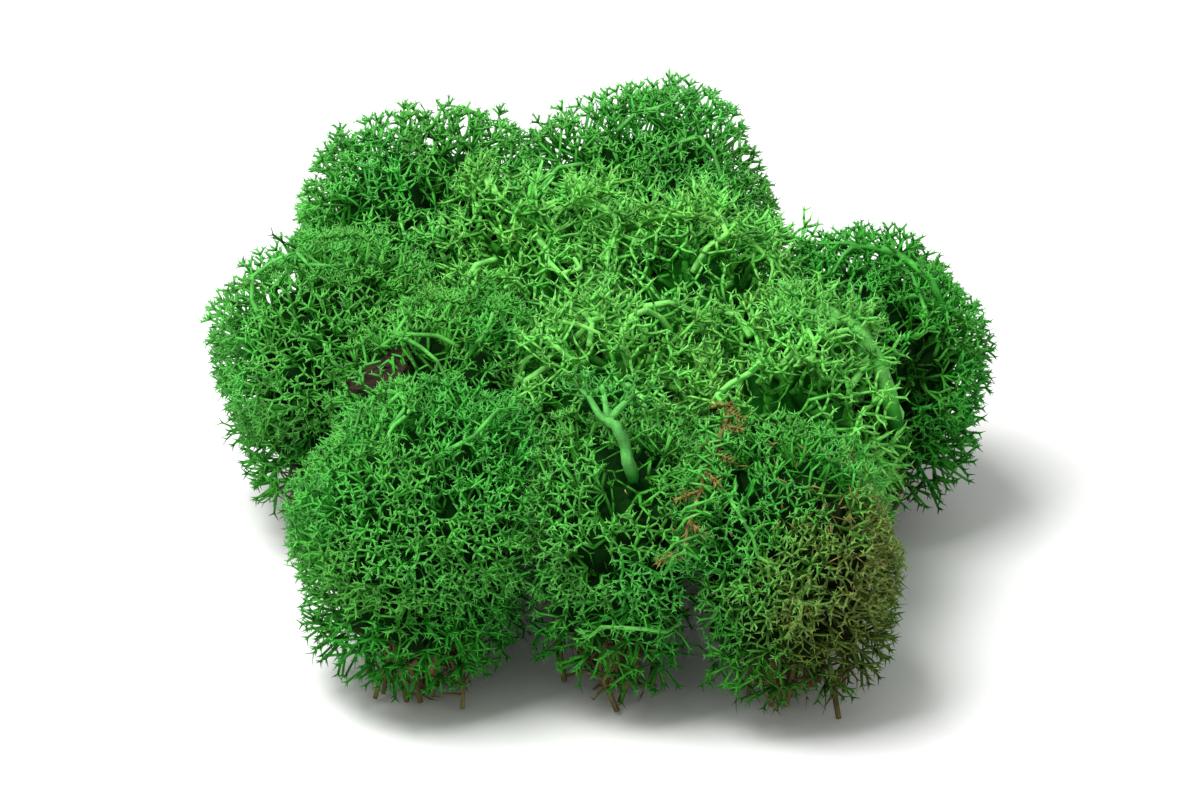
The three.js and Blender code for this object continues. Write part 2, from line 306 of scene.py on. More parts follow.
# %% [markdown]
# ## Heads that grow together
#
# Where two heads meet, the young branches of both fill the valley between them, so the clump has one
# lumpy canopy and no row of balls. Each head counts as a soft ball whose fullness is 1 at its outline
# and fades outside it. Two fading edges add up to 1 a little further out, and there the canopy ends.
# Filling the valleys by hand would need a list of extra tufts, and this finds their size by itself.
# The same fullness tells where a place is buried: low between two heads, where no light comes, the
# outer branches have died off.

# %% The common canopy
SOFTNESS = 5.0
FADED_AT = 2.2
NEIGHBOUR_WITHIN = 2.5
CANOPY_STEP = 0.5 * MM
MOST_FILLING = 6 * MM
INTERLOCK = 1.2 * MM
BURIED_BELOW = 27 * MM
BURIED_FULLNESS = 0.9


def fullness(point, without=None):
    """How full the canopy is here: the sum over the heads, 1 or more inside it."""
    total = 0.0
    for shape in shapes.values():
        arm = point - shape.heart
        if shape is not without and arm.length < FADED_AT * shape.radius:
            total += math.exp(-SOFTNESS * (arm.length / shape.reach(arm.normalized()) - 1))
    return total


def is_buried(shape, point):
    """True deep between two heads, where no light comes and the branches have died off."""
    return point.z < BURIED_BELOW and fullness(point, without=shape) > BURIED_FULLNESS


def own_ground(shape, point):
    """True where the point belongs to this head, or lies only a little way inside a neighbour's."""
    own = (point - shape.heart).length_squared - shape.radius ** 2
    for other in shapes.values():
        span = (other.heart - shape.heart).length
        if other is not shape and span < NEIGHBOUR_WITHIN * shape.radius:
            theirs = (point - other.heart).length_squared - other.radius ** 2
            if own > theirs + 2 * span * INTERLOCK:
                return False
    return True


def canopy_reach(shape, direction, reach):
    """Steps outwards from the head's own outline until the canopy or the head's own ground ends."""
    most = reach + MOST_FILLING
    while reach < most:
        point = shape.heart + direction * (reach + CANOPY_STEP)
        if fullness(point) < 1 or not own_ground(shape, point):
            break
        reach += CANOPY_STEP
    return reach


grown = {
    name: [canopy_reach(s, d, r) if d.z > 0 else r for d, r in zip(even_directions(PROBES), s.reaches)]
    for name, s in shapes.items()
}
for name, shape in shapes.items():
    shape.own_reaches, shape.reaches = shape.reaches, grown[name]
    most = max(g - r for g, r in zip(grown[name], shape.own_reaches))
    print(name, "grew by up to", round(most / MM, 1), "mm")

# %% [markdown]
# ## Gaps in the canopy
#
# A clump that has been pulled from the ground and packed isn't closed all over. Where heads were pulled
# apart there are hollows up to 13 mm wide, and there are many small pits where a few twigs broke off.
# Cutting them out of a finished head would leave cut ends. So a gap is a ball in which no twig may end,
# and the branches that would have grown there are simply missing, as in the lichen itself.

# %% Hollows and pits
# A hollow is x, y, depth under the canopy and radius, in mm.
HOLLOWS = [
    (8.0, -44.5, 1.5, 4.6), (3.0, -51.0, 1.5, 3.8), (44, -13.5, 2.5, 6.6), (49, -7, 2.5, 5.2),
    (21, 1, 1.0, 3.2), (-12, -26, 1.5, 3.4), (-22, 17, 1.5, 3.8), (-7, 31, 2.0, 4.2),
    (27, -27, 1.5, 3.2), (-26, -25, 1.0, 3.2), (-32.5, -23.5, -0.8, 3.4),
]
CANOPY_TOP = CAD_BOX[1][2] + MOST_FILLING
PIT_SHARE = 0.92
PIT_RISE = 0.8
PIT_SPREAD = 0.5


def on_canopy(x, y, over=0.0):
    """The point of the canopy over a place on the ground, or this many mm over or under it."""
    point = Vector((x, y, CANOPY_TOP / MM)) * MM
    while point.z > 0 and not any(s.holds(point) for s in shapes.values()):
        point.z -= CANOPY_STEP
    point.z += over * MM
    return point


def jitter(rng, size):
    """A small random step of about this size, alike in all directions."""
    return Vector((rng.gauss(0, 1), rng.gauss(0, 1), rng.gauss(0, 1))) * size


def make_pits(growth, shape, habit, rng):
    """Keeps small balls free under the outline of a head, most of them near its top."""
    for _ in range(habit["pits"]):
        direction = (Vector((0, 0, PIT_RISE)) + jitter(rng, PIT_SPREAD)).normalized()
        pit = shape.heart + direction * shape.reach(direction) * PIT_SHARE
        growth.hollows.append((pit, rng.uniform(*habit["pit_sizes"]) * MM))


hollows = [(on_canopy(x, y, -depth), radius * MM) for x, y, depth, radius in HOLLOWS]
print(len(hollows), "hollows, the widest", round(2 * max(radius for _, radius in hollows) / MM, 1), "mm")

# %% [markdown]
# ## How a podetium forks
#
# A podetium comes up as a bare stalk and forks about every 3 mm. The gaps between the branches stay
# alike all through the head, because each branch grows to where there is room. That is copied here with
# rings: each ring has points spread evenly over it, and each point joins the nearest branch of the
# ring below. Forking at random angles is quicker to write, but it leaves clots and bald patches.
#
# Two habits grow side by side in this clump. The tight heads have short thick stars that nearly close
# their surface. The open ones end in long bent arms that make a net, and more of their old wood shows.

# %% Habits of growth
# A ring is (share of the reach, gap between branches, thickness). Its points stray from it by the
# scatter, a share of the reach. A branch that has no skin is made of limb parts, and its corners move
# by the bend, a share of its length. Side twigs are how many may turn aside at a fork. Arms and thorns
# make the stars at the tips. Pits are the small gaps. The core is the matted middle, as a share of the
# reach, with its shade age and shade tint, which colour it dark as painted shade. Runners lie on top of
# the head and rise to the cover, a share of the reach. Lengths and widths are in mm.
TIGHT = {
    "rings": [(0.30, 3.4, 0.84), (0.48, 3.8, 0.90), (0.63, 3.1, 0.74), (0.77, 2.45, 0.60),
              (0.89, 1.63, 0.48)],
    "scatter": 0.05, "bend": 0.10, "limb_parts": 1, "side_twigs": (1, 2),
    "arm_parts": 1, "arm": 1.35, "arm_spread": 1.3, "arm_width": 0.40,
    "thorns": (2, 2, 3), "thorn": 0.85, "thorn_spread": 1.1, "thorn_width": 0.33,
    "pits": 9, "pit_sizes": (1.6, 2.9),
    "core": 0.62, "core_shade_age": 0.30, "core_shade_tint": -0.8,
    "runners": 4, "runner_width": 0.56, "runner_age": 0.95, "cover": 0.95,
}
OPEN = {
    "rings": [(0.32, 3.7, 0.92), (0.50, 4.1, 0.92), (0.67, 3.5, 0.82), (0.81, 3.1, 0.70),
              (0.93, 2.95, 0.61)],
    "scatter": 0.06, "bend": 0.15, "limb_parts": 2, "side_twigs": (1, 1),
    "arm_parts": 2, "arm": 3.0, "arm_spread": 1.9, "arm_width": 0.52,
    "thorns": (1, 2, 3), "thorn": 1.4, "thorn_spread": 1.4, "thorn_width": 0.38,
    "pits": 8, "pit_sizes": (2.0, 3.5),
    "core": 0.52, "core_shade_age": 0.36, "core_shade_tint": -0.5,
    "runners": 12, "runner_width": 0.78, "runner_age": 1.0, "cover": 0.99,
}
print("gaps between branches, mm:", [r[1] for r in TIGHT["rings"]], "and", [r[1] for r in OPEN["rings"]])

# %% Podetia, twigs and forks
LITTER_ROOM = 0.6 * MM
LOWEST_TWIG = 0.4 * MM
TWIG_SIDES = 3


class Podetium:
    """One forking stalk: a tree of points with half thicknesses, ages (0 at the foot, 1 at the tips)
    and parents."""

    def __init__(self):
        self.points, self.radii, self.ages, self.parents = [], [], [], []

    def add(self, point, thickness_mm, age, parent=None):
        """Adds a point to the line and returns its number."""
        self.points.append(point)
        self.radii.append(thickness_mm * MM / 2)
        self.ages.append(age)
        self.parents.append(parent)
        return len(self.points) - 1


class Growth:
    """What has grown so far: the podetia, and the twigs that are too thin to need a skin. A twig is
    (kind, begin, end, begin width, end width, age, tint), its kind (sides, True where it is pointed)."""

    def __init__(self, litter=None, hollows=()):
        self.podetia, self.tints, self.twigs = [], [], []
        self.litter, self.hollows = litter, list(hollows)

    def podetium(self, tint):
        """Starts a podetium. A tint from 0 to 1 is how far it may turn yellow, one below 0 darkens it."""
        self.podetia.append(Podetium())
        self.tints.append(tint)
        return self.podetia[-1]

    def is_free(self, begin, end):
        """True where a twig keeps clear of the ground, the hollows, the sprig and the flake."""
        if end.z < LOWEST_TWIG or any((end - middle).length < radius for middle, radius in self.hollows):
            return False
        if self.litter is None:
            return True
        run = end - begin
        hit = self.litter.ray_cast(begin, run.normalized(), run.length)[0]
        return hit is None and self.litter.find_nearest(end, LITTER_ROOM)[0] is None

    def lay(self, begin, end, widths_mm, age, tint, sides=TWIG_SIDES):
        """Adds a straight twig between two points."""
        kind = (sides, widths_mm[1] == 0)
        self.twigs.append((kind, begin, end, widths_mm[0] * MM, widths_mm[1] * MM, age, tint))

    def twig(self, begin, way, length_mm, widths_mm, age, tint, sides=TWIG_SIDES):
        """Grows a straight twig in a direction and returns its end, or None where it has no room."""
        end = begin + way * length_mm * MM
        if not self.is_free(begin, end):
            return None
        self.lay(begin, end, widths_mm, age, tint, sides)
        return end


class Fork:
    """A living end: where it is, which way its twig runs, and how many branches it carries so far."""

    def __init__(self, podetium, tint, place, way, width, number=None):
        self.podetium, self.tint, self.place, self.way = podetium, tint, place, way
        self.width, self.number, self.branches = width, number, 0


print("twigs of", TWIG_SIDES, "sides keep", LITTER_ROOM / MM, "mm off the sprig and the flake")

# %% Branches
WHORL_BLUR = 0.35
WHORL_LEANS = (0.7, 1.2)
NECK_AT = 0.24
NECK_SWELL = 1.2
NECK_YOUNGER = 0.06
# A limb is LIMB_ROOT times as thick at its root and loses LIMB_SWELL of that on its way. Each of its
# parts tapers to LIMB_TAPER.
LIMB_ROOT = 1.35
LIMB_SWELL = 0.35
LIMB_TAPER = 0.92


def round_about(along, count, spread, rng):
    """Directions in a whorl round a twig that runs along a direction."""
    side = along.orthogonal().normalized()
    across = along.cross(side)
    turn = rng.uniform(0, 2 * math.pi)
    for k in range(count):
        angle = turn + k * 2 * math.pi / count + rng.uniform(-WHORL_BLUR, WHORL_BLUR)
        outward = side * math.cos(angle) + across * math.sin(angle)
        yield (along + outward * spread * rng.uniform(*WHORL_LEANS)).normalized()


def branch(growth, fork, point, thickness, age, habit, skinned, rng):
    """Grows a branch from a fork to a point and returns the new fork. A skin webs the corner between
    two branches as far as their next points, so each branch has a neck point close to its fork."""
    podetium, run = fork.podetium, point - fork.place
    fork.branches += 1
    number = None
    if skinned:
        neck = fork.place + run * NECK_AT + jitter(rng, habit["bend"] * run.length)
        width = min(fork.width, thickness * NECK_SWELL)
        number = podetium.add(neck, width, age - NECK_YOUNGER, fork.number)
        number = podetium.add(point, thickness, age, number)
    else:
        begin = fork.place
        for part in range(1, habit["limb_parts"] + 1):
            share = part / habit["limb_parts"]
            end = fork.place.lerp(point, share)
            if share < 1:
                end += jitter(rng, habit["bend"] * run.length)
            width = thickness * (LIMB_ROOT - LIMB_SWELL * share)
            growth.lay(begin, end, (width, width * LIMB_TAPER), age, fork.tint)
            begin = end
    return Fork(podetium, fork.tint, point, run.normalized(), thickness, number)


print("necks at", NECK_AT, "of a branch")

# %% Stars
FINE_FROM = -0.05
CROWDED = 0.84
STAR_ARMS = (3, 3, 4)
ARM_LENGTHS = (0.7, 1.15)
ARM_ROOT = 1.05
ARM_TAPER = 0.15
ARM_AGES = (0.90, 0.95)
ARM_RISE = 0.45
ARM_WANDER = 0.2
THORN_LENGTHS = (0.7, 1.2)


def star(growth, fork, shape, habit, rng):
    """The star at a tip. Its arms end in thorns where the sky can be seen from it."""
    outward = (fork.place - shape.heart).normalized()
    fine = outward.z > FINE_FROM and shape.own_reach(outward) > CROWDED * shape.radius
    width, parts = habit["arm_width"], habit["arm_parts"]
    arms = rng.choice(STAR_ARMS)
    for way in round_about((fork.way + outward).normalized(), arms, habit["arm_spread"], rng):
        length = habit["arm"] * rng.uniform(*ARM_LENGTHS) / parts
        tip = fork.place
        for part in range(parts):
            last = 0 if part == parts - 1 and not fine else width * (1 - ARM_TAPER * part)
            tip = growth.twig(tip, way, length, (width * ARM_ROOT, last), ARM_AGES[part], fork.tint)
            if tip is None:
                break
            way = (way + outward * ARM_RISE + jitter(rng, ARM_WANDER)).normalized()
        if fine and tip is not None:
            for thorn in round_about(way, rng.choice(habit["thorns"]), habit["thorn_spread"], rng):
                length = habit["thorn"] * rng.uniform(*THORN_LENGTHS)
                growth.twig(tip, thorn, length, (habit["thorn_width"], 0), 1.0, fork.tint)


trial_shape = shapes["head_middle"]
trial_top = trial_shape.heart + Vector((0, 0, trial_shape.radius))
for title, habit in (("tight", TIGHT), ("open", OPEN)):
    trial = Growth()
    star(trial, Fork(None, 0.5, trial_top, Vector((0, 0, 1)), 0.5), trial_shape, habit, random.Random(1))
    print("a star of the", title, "habit has", len(trial.twigs), "twigs")

# %% [markdown]
# ## The dim inside of a head
#
# Little light gets in under the stars. There the side twigs are short and bent, the lower ones are dead
# and brown, and on the stalks they mat together. In the middle of a head they are matted so closely
# that no light passes. Drawing all of them would take millions of faces that nobody sees. So the outer
# half of the head gets real side twigs, and the middle is one rough lump, coloured dark as painted
# shade. Where a hollow lays that lump bare, a few more twigs stand on it, coloured dark as painted
# shade too.

# %% Side twigs
SIDE_WIDTH = 0.5
SIDE_SHARE = 0.7
SIDE_TAPER = (1.0, 0.85, 0.6)
ELBOW_LENGTHS = (1.4, 2.4)
SIDE_LENGTHS = (1.2, 2.2)
SIDE_BEND = 0.35
SIDE_SPREAD = 0.9


def side_width(fork):
    """The thickness in mm of a twig that turns aside at a fork."""
    return min(SIDE_WIDTH, fork.width * SIDE_SHARE)


def side_twig(growth, fork, age, rng, lean=Vector((0, 0, 0))):
    """A bent twig that turns aside in the dim inside of the head and forks once."""
    first, second, third = (side_width(fork) * share for share in SIDE_TAPER)
    way = (jitter(rng, 1.0).normalized() + lean).normalized()
    elbow = growth.twig(fork.place, way, rng.uniform(*ELBOW_LENGTHS), (first, second), age, fork.tint)
    if elbow is None:
        return
    way = (way + jitter(rng, SIDE_BEND)).normalized()
    end = growth.twig(elbow, way, rng.uniform(*SIDE_LENGTHS), (second, third), age, fork.tint)
    if end is None:
        return
    for tip in round_about(way, 2, SIDE_SPREAD, rng):
        growth.twig(end, tip, rng.uniform(*SIDE_LENGTHS), (third, 0), age, fork.tint)


print("side twigs up to", SIDE_WIDTH, "mm thick")

# %% Bare stalks and the dead mat
# The age of the forks of each ring, from 0 at a foot to 1 at the tips.
AGES = (0.36, 0.48, 0.60, 0.73, 0.86)
FOOT_SPREAD = (0.5, 1.35)
FOOT_BLUR = 1.8 * MM
FOOT_WIDTH = 0.7
FOOT_LIFT = 0.8
STALK_RISES = (0.25, 0.5, 0.75)
STALK_WANDER = 1.3
STALK_WIDTHS = (0.6, 0.9)
STALK_TWIGS = 2
STALK_LEAN = Vector((0, 0, 0.2))
MAT_TWIGS = 120
MAT_FOOT = 0.6
MAT_CROWDING = 1.4
MAT_FORKS = (0.5, 0.9)
MAT_AGES = (0.2, 0.8)
UPRIGHT = Vector((0, 0, 1))


def stalk(growth, shape, direction, habit, rng):
    """A new podetium: a bare stalk from the ground to the first ring, with a few dead side twigs."""
    share, _, thickness = habit["rings"][0]
    top = shape.heart + direction * shape.reach(direction) * share
    foot = shape.heart.lerp(top + jitter(rng, FOOT_BLUR), rng.uniform(*FOOT_SPREAD))
    foot.z = thickness * MM * FOOT_LIFT
    tint = rng.random()
    made = growth.podetium(tint)
    step = made.add(foot, thickness * FOOT_WIDTH, 0.0)
    for rise in STALK_RISES:
        place = foot.lerp(top, rise) + jitter(rng, STALK_WANDER * MM)
        width = thickness * rng.uniform(*STALK_WIDTHS)
        step = made.add(place, width, AGES[0] * rise, step)
        for _ in range(STALK_TWIGS):
            side_twig(growth, Fork(made, tint, place, UPRIGHT, width), AGES[0] * rise, rng, STALK_LEAN)
    step = made.add(top, thickness, AGES[0], step)
    return Fork(made, tint, top, (top - place).normalized(), thickness, step)


def dead_mat(growth, rng):
    """Matted twigs on the lower parts of a head's stalks and runners, thickest at their feet."""
    stalks = list(zip(growth.podetia, growth.tints))
    for _ in range(MAT_TWIGS):
        made, tint = rng.choice(stalks)
        rise = rng.random() ** MAT_CROWDING * MAT_FOOT * (len(STALK_RISES) + 1)
        step = int(rise)
        place = made.points[step].lerp(made.points[step + 1], rise - step)
        here = Fork(made, tint, place, UPRIGHT, rng.uniform(*MAT_FORKS))
        side_twig(growth, here, made.ages[step + 1] * rng.uniform(*MAT_AGES), rng)


print(MAT_TWIGS, "matted twigs in each head, on the lowest", MAT_FOOT, "of its stalks")

# %% The matted core, coloured dark as painted shade
CORE_ROUGHNESS = 0.3
CORE_GRAIN = 1.7 * MM
CORE_FOLDS = 4
HOLLOW_TWIGS = 22
# Twigs in the hollows get a low age, which colours them dark as painted shade.
HOLLOW_SHADE_AGE = 0.40
HOLLOW_SPREAD = 0.6
HOLLOW_FORKS = (0.6, 0.9)


def painted_shade_core(shape, share):
    """The middle of a head, where the dead twigs are matted so closely that no light passes. It is one rough
    lump, coloured dark as painted shade.
    """
    core = bmesh.new()
    bmesh.ops.create_icosphere(core, subdivisions=CORE_FOLDS, radius=1)
    for vert in core.verts:
        direction = vert.co.normalized()
        reach = shape.reach(direction) * share
        rough = 1 + CORE_ROUGHNESS * noise.noise((shape.heart + direction * reach) / CORE_GRAIN)
        vert.co = shape.heart + direction * reach * rough
    mesh = bpy.data.meshes.new("core")
    core.to_mesh(mesh)
    core.free()
    return mesh


def twigs_in_hollows(growth, shape, share, hollows, rng):
    """Twigs on the matted core where one of the hollows lays it bare, coloured dark by a low age as painted
    shade. They alone may grow in the hollows.
    """
    growth.hollows = []
    for middle, radius in hollows:
        arm = middle - shape.heart
        if arm.length > shape.radius + radius:
            continue
        for _ in range(HOLLOW_TWIGS):
            direction = (arm.normalized() + jitter(rng, HOLLOW_SPREAD * radius / arm.length)).normalized()
            root = shape.heart + direction * shape.reach(direction) * share
            here = Fork(None, rng.random(), root, direction, rng.uniform(*HOLLOW_FORKS))
            side_twig(growth, here, HOLLOW_SHADE_AGE, rng, direction)


print("cores", TIGHT["core"], "and", OPEN["core"], "of the reach")

# %% [markdown]
# ## Old podetia and long runners
#
# Some podetia are older than the head they stand in. They are up to 2 mm thick, smooth and bare, and end
# in a fan of prongs. Thinner ones have grown along the canopy and carry small tufts all the way. Rings
# can't give these, since a ring only fills a head evenly. So two thick and two thinner ones are drawn as
# lines over the canopy, point by point. The thin runners start at random near the top of each head and
# wander along it.

# %% Lines of the old podetia
# Each has the head that it is in, its thickness at both ends, the points of its line, and those of the
# prongs that it ends in. A point is x, y and its height over the canopy, in mm.
LARGE_PODETIA = [
    {"head": "head_front", "widths": (1.4, 1.3),
     "line": [(5, -42, -12), (4.4, -46.5, -5), (3.5, -46, -0.8), (2.4, -44.2, 0.3), (1.4, -42.4, 0.6)],
     "prongs": [[(-0.2, -40.0, 1.8), (-1.6, -36.4, 3.0), (-2.8, -33.0, 3.2)],
                [(1.0, -40.0, 1.6), (0.6, -36.2, 2.9), (0.3, -32.6, 3.2)],
                [(2.4, -40.2, 1.5), (3.6, -37.0, 2.4), (4.9, -34.2, 2.6)]]},
    {"head": "head_front_right", "widths": (1.75, 1.55),
     "line": [(43.5, -18.5, -5), (41.5, -16, -1.2), (38.6, -12.6, 0.0), (36, -10, -0.2)],
     "prongs": [[(34.0, -8.0, -0.3), (31.5, -6.0, -1.0)], [(33.5, -10.5, -0.3), (30.0, -10.5, -0.9)],
                [(34.0, -12.5, -0.3), (31.5, -15.0, -1.0)], [(36.5, -7.5, -0.3), (37.0, -4.5, -1.0)]]},
    {"head": "head_right", "widths": (0.95, 0.75),
     "line": [(52, 0, -5), (49, 4, -0.8), (44, 7, -0.4), (38, 8.5, -0.3)],
     "prongs": [[(35.5, 9.0, -0.4), (32.5, 10.5, -0.9)], [(36.0, 6.5, -0.5), (34.5, 4.0, -1.0)]]},
    {"head": "head_centre_right", "widths": (0.80, 0.70),
     "line": [(4, 10, -2), (10, 9, -0.4), (17, 8, -0.5), (25, 4.5, -1.0)],
     "prongs": [[(27.0, 3.0, -1.2), (28.0, 1.5, -1.8)], [(25.5, 2.5, -1.0), (25.0, 0.5, -1.6)]]},
]
thickest = max(large["widths"][0] for large in LARGE_PODETIA)
print(len(LARGE_PODETIA), "old podetia, the thickest", thickest, "mm")

# %% Smooth lines and tufts
TUFT_LENGTHS = (1.6, 2.8)
TUFT_AGE = 0.9


def along_path(points, share):
    """The point at a share of a smooth line through these points."""
    place = share * (len(points) - 1)
    i = min(int(place), len(points) - 2)
    ends = [points[max(0, min(len(points) - 1, k))] for k in (i - 1, i, i + 1, i + 2)]
    before, start, end, after = ends
    t = place - i
    return 0.5 * (
        2 * start + (end - before) * t + (2 * before - 5 * start + 4 * end - after) * t * t
        + (3 * start - before - 3 * end + after) * t ** 3
    )


def tufts(growth, fork, count, spread, shape, habit, rng):
    """A whorl of short branches on a fork, each with a star."""
    for onward in round_about(fork.way, count, spread, rng):
        end = fork.place + onward * rng.uniform(*TUFT_LENGTHS) * MM
        if growth.is_free(fork.place, end):
            made = branch(growth, fork, end, side_width(fork), TUFT_AGE, habit, False, rng)
            star(growth, made, shape, habit, rng)


print("tufts on branches", TUFT_LENGTHS[0], "to", TUFT_LENGTHS[1], "mm long")

# %% Old podetia
# Podetia thicker than this are bare. Thinner ones carry tufts all the way.
BARE_FROM = 1.0
LARGE_TINTS = (-0.47, -0.32)
THIN_TINTS = (0.3, 0.8)
LARGE_AGE = 1.0
THIN_AGE = 0.93
LARGE_STEPS = 9
LARGE_BUMP = 0.16 * MM
LARGE_SWELL = (0.88, 1.08)
# The foot has this share of the full age. The rest comes at this rate, in the first third of the line.
FOOT_AGE = 0.42
AGE_RISE = 1.8
TUFT_SPREAD = 1.4
PRONG_WIDTHS = (0.74, 0.40)
PRONG_NECK = 0.45
PRONG_TUFT_SPREAD = 1.1


def large_podetium(growth, shape, large, habit, rng):
    """An old podetium that lies half out of the canopy, with prongs that end in stars."""
    first, last = large["widths"]
    is_bare = first > BARE_FROM
    tint = rng.uniform(*(LARGE_TINTS if is_bare else THIN_TINTS))
    oldest = LARGE_AGE if is_bare else THIN_AGE
    made = growth.podetium(tint)
    corners = [on_canopy(*p) for p in large["line"]]
    shares = [i / LARGE_STEPS for i in range(LARGE_STEPS + 1)]
    points = [along_path(corners, share) + jitter(rng, LARGE_BUMP) for share in shares]
    number = None
    for i, point in enumerate(points):
        width = (first + (last - first) * i / LARGE_STEPS) * rng.uniform(*LARGE_SWELL)
        number = made.add(point, width, oldest * min(1, FOOT_AGE + AGE_RISE * i / LARGE_STEPS), number)
        if i and width < BARE_FROM:
            here = Fork(made, tint, point, (point - points[i - 1]).normalized(), width, number)
            tufts(growth, here, 2, TUFT_SPREAD, shape, habit, rng)
    for prong in large["prongs"]:
        places = [on_canopy(*p) for p in prong]
        places.insert(0, points[-1].lerp(places[0], PRONG_NECK))
        step, before = number, points[-1]
        for i, place in enumerate(places):
            share = PRONG_WIDTHS[0] + (PRONG_WIDTHS[1] - PRONG_WIDTHS[0]) * i / (len(places) - 1)
            step = made.add(place, last * share, oldest, step)
            tip = Fork(made, tint, place, (place - before).normalized(), last * share, step)
            if i > 1:
                tufts(growth, tip, 1 + i, PRONG_TUFT_SPREAD, shape, habit, rng)
            before = place


print("old podetia are drawn in", LARGE_STEPS, "steps, with prongs", PRONG_WIDTHS, "as thick as their ends")

# %% Runners
RUNNER_BENDS = 6
RUNNER_STEP = 3.4
RUNNER_SPREAD = 0.55
RUNNER_TINTS = (0.2, 0.8)
RUNNER_FROM = 0.84
RUNNER_TAPER = 0.4
RUNNER_WANDER = 0.5
RUNNER_TUFTS = (1, 2)


def runner(growth, shape, habit, rng):
    """A long branch that lies along the canopy and rises out of it in the middle."""
    direction = (UPRIGHT + jitter(rng, RUNNER_SPREAD)).normalized()
    way = direction.cross(jitter(rng, 1.0)).normalized()
    tint = rng.uniform(*RUNNER_TINTS)
    made = growth.podetium(tint)
    number = None
    for bend in range(RUNNER_BENDS + 1):
        middle = 1 - abs(2 * bend / RUNNER_BENDS - 1)
        level = RUNNER_FROM + (habit["cover"] - RUNNER_FROM) * min(1, 2 * middle)
        reach = shape.reach(direction) * level
        place = shape.heart + direction * reach
        width = habit["runner_width"] * (1 - RUNNER_TAPER * bend / RUNNER_BENDS)
        number = made.add(place, width, habit["runner_age"], number)
        if bend:
            here = Fork(made, tint, place, way, width, number)
            tufts(growth, here, rng.choice(RUNNER_TUFTS), TUFT_SPREAD, shape, habit, rng)
        way = (way + jitter(rng, RUNNER_WANDER)).normalized()
        direction = (direction * reach + way * RUNNER_STEP * MM).normalized()


print(TIGHT["runners"], "or", OPEN["runners"], "runners a head, about", RUNNER_BENDS * RUNNER_STEP, "mm long")

# %% [markdown]
# ## Twigs over the sprig and the flake
#
# The dry sprig and the flake of bark lie in the clump because the moss has grown over them. Laid on top
# they would look dropped there. So each head keeps its own branches clear of them, and then sends a few
# twigs across: up on one side, over the top and down on the other, with a star at the end.

# %% Crossing twigs
# The lines that the sprig and the flake lie along, as x, y and height over the ground in mm.
SPRIG_LINE = [(19.2, -30.1, 41.0), (17.2, -39.1, 40.0), (14.2, -49.1, 37.5), (11.2, -58.1, 31.5)]
FLAKE_LINE = [(-36.0, -23.5, 41.0), (-31.8, -21.6, 41.5), (-27.6, -19.7, 42.5)]
CROSSING_COUNTS = {"sprig": 24, "flake": 5}
CROSSING_SEED = 5
CROSSING_SLANT = 1.2
CROSSING_WIDTHS = (0.62, 0.52, 0.42)
CROSSING_AGES = (0.85, 0.92)
# How far aside of the line, and how far under or over it, a twig begins, bends and ends, in mm.
BEGIN_ASIDE = (2.4, 3.4)
BEGIN_UNDER = 1.5
BEND_ASIDE = (0.2, 1.2)
BEND_OVER = (1.0, 1.7)
END_ASIDE = (0.6, 2.2)
END_OVER = (0.7, 1.6)
END_BLUR = 0.7


def twigs_across(rng):
    """The twigs that cross the sprig and the flake, sorted by the head that each grows from."""
    found = {name: [] for name in shapes}
    for line, count in zip((SPRIG_LINE, FLAKE_LINE), CROSSING_COUNTS.values()):
        for _ in range(count):
            i = rng.randrange(len(line) - 1)
            first, second = Vector(line[i]) * MM, Vector(line[i + 1]) * MM
            along = (second - first).normalized()
            side = along.cross(UPRIGHT).normalized() * rng.choice((-1, 1))
            up = side.cross(along) if side.cross(along).z > 0 else along.cross(side)
            side = (side + along * rng.uniform(-CROSSING_SLANT, CROSSING_SLANT)).normalized()
            middle = first.lerp(second, rng.random())
            begin = middle + (side * rng.uniform(*BEGIN_ASIDE) - up * BEGIN_UNDER) * MM
            bend = middle + (side * rng.uniform(*BEND_ASIDE) + up * rng.uniform(*BEND_OVER)) * MM
            blur = jitter(rng, END_BLUR)
            end = middle + (blur - side * rng.uniform(*END_ASIDE) + up * rng.uniform(*END_OVER)) * MM
            home = min(shapes, key=lambda name: (shapes[name].heart - begin).length)
            found[home].append((begin, bend, end))
    return found


def overgrown(growth, shape, crossings, habit, rng):
    """The twigs that this head has grown over the sprig and the flake: each begins on one side of it,
    bends over it and ends in a star on the other."""
    first, second, third = CROSSING_WIDTHS
    for begin, bend, end in crossings:
        tint = rng.random()
        growth.lay(begin, bend, (first, second), CROSSING_AGES[0], tint)
        growth.lay(bend, end, (second, third), CROSSING_AGES[1], tint)
        star(growth, Fork(None, tint, end, (end - bend).normalized(), third), shape, habit, rng)


crossings = twigs_across(random.Random(CROSSING_SEED))
print("crossing twigs", {name: len(twigs) for name, twigs in crossings.items() if twigs})

# %% [markdown]
# ## Growing a head
#
# A head grows from the inside out. Each ring is sown with even points, about as many as its area has
# room for. A point in the first ring raises a new stalk. Each later one joins the nearest fork that has
# branches to spare and a free way to it. The last ring ends in stars. A point that finds no fork stays
# empty, which leaves the small faults that a head without any would lack.

# %% Rings
LOWEST = -0.70
LOWEST_BLUR = 0.22
WANDER = 0.25
MOST_BRANCHES = 4
NEAREST_FORKS = 5
SKINNED_RINGS = 3
BURIED_FROM_RING = 3
SIDE_TWIG_OLDER = 0.1


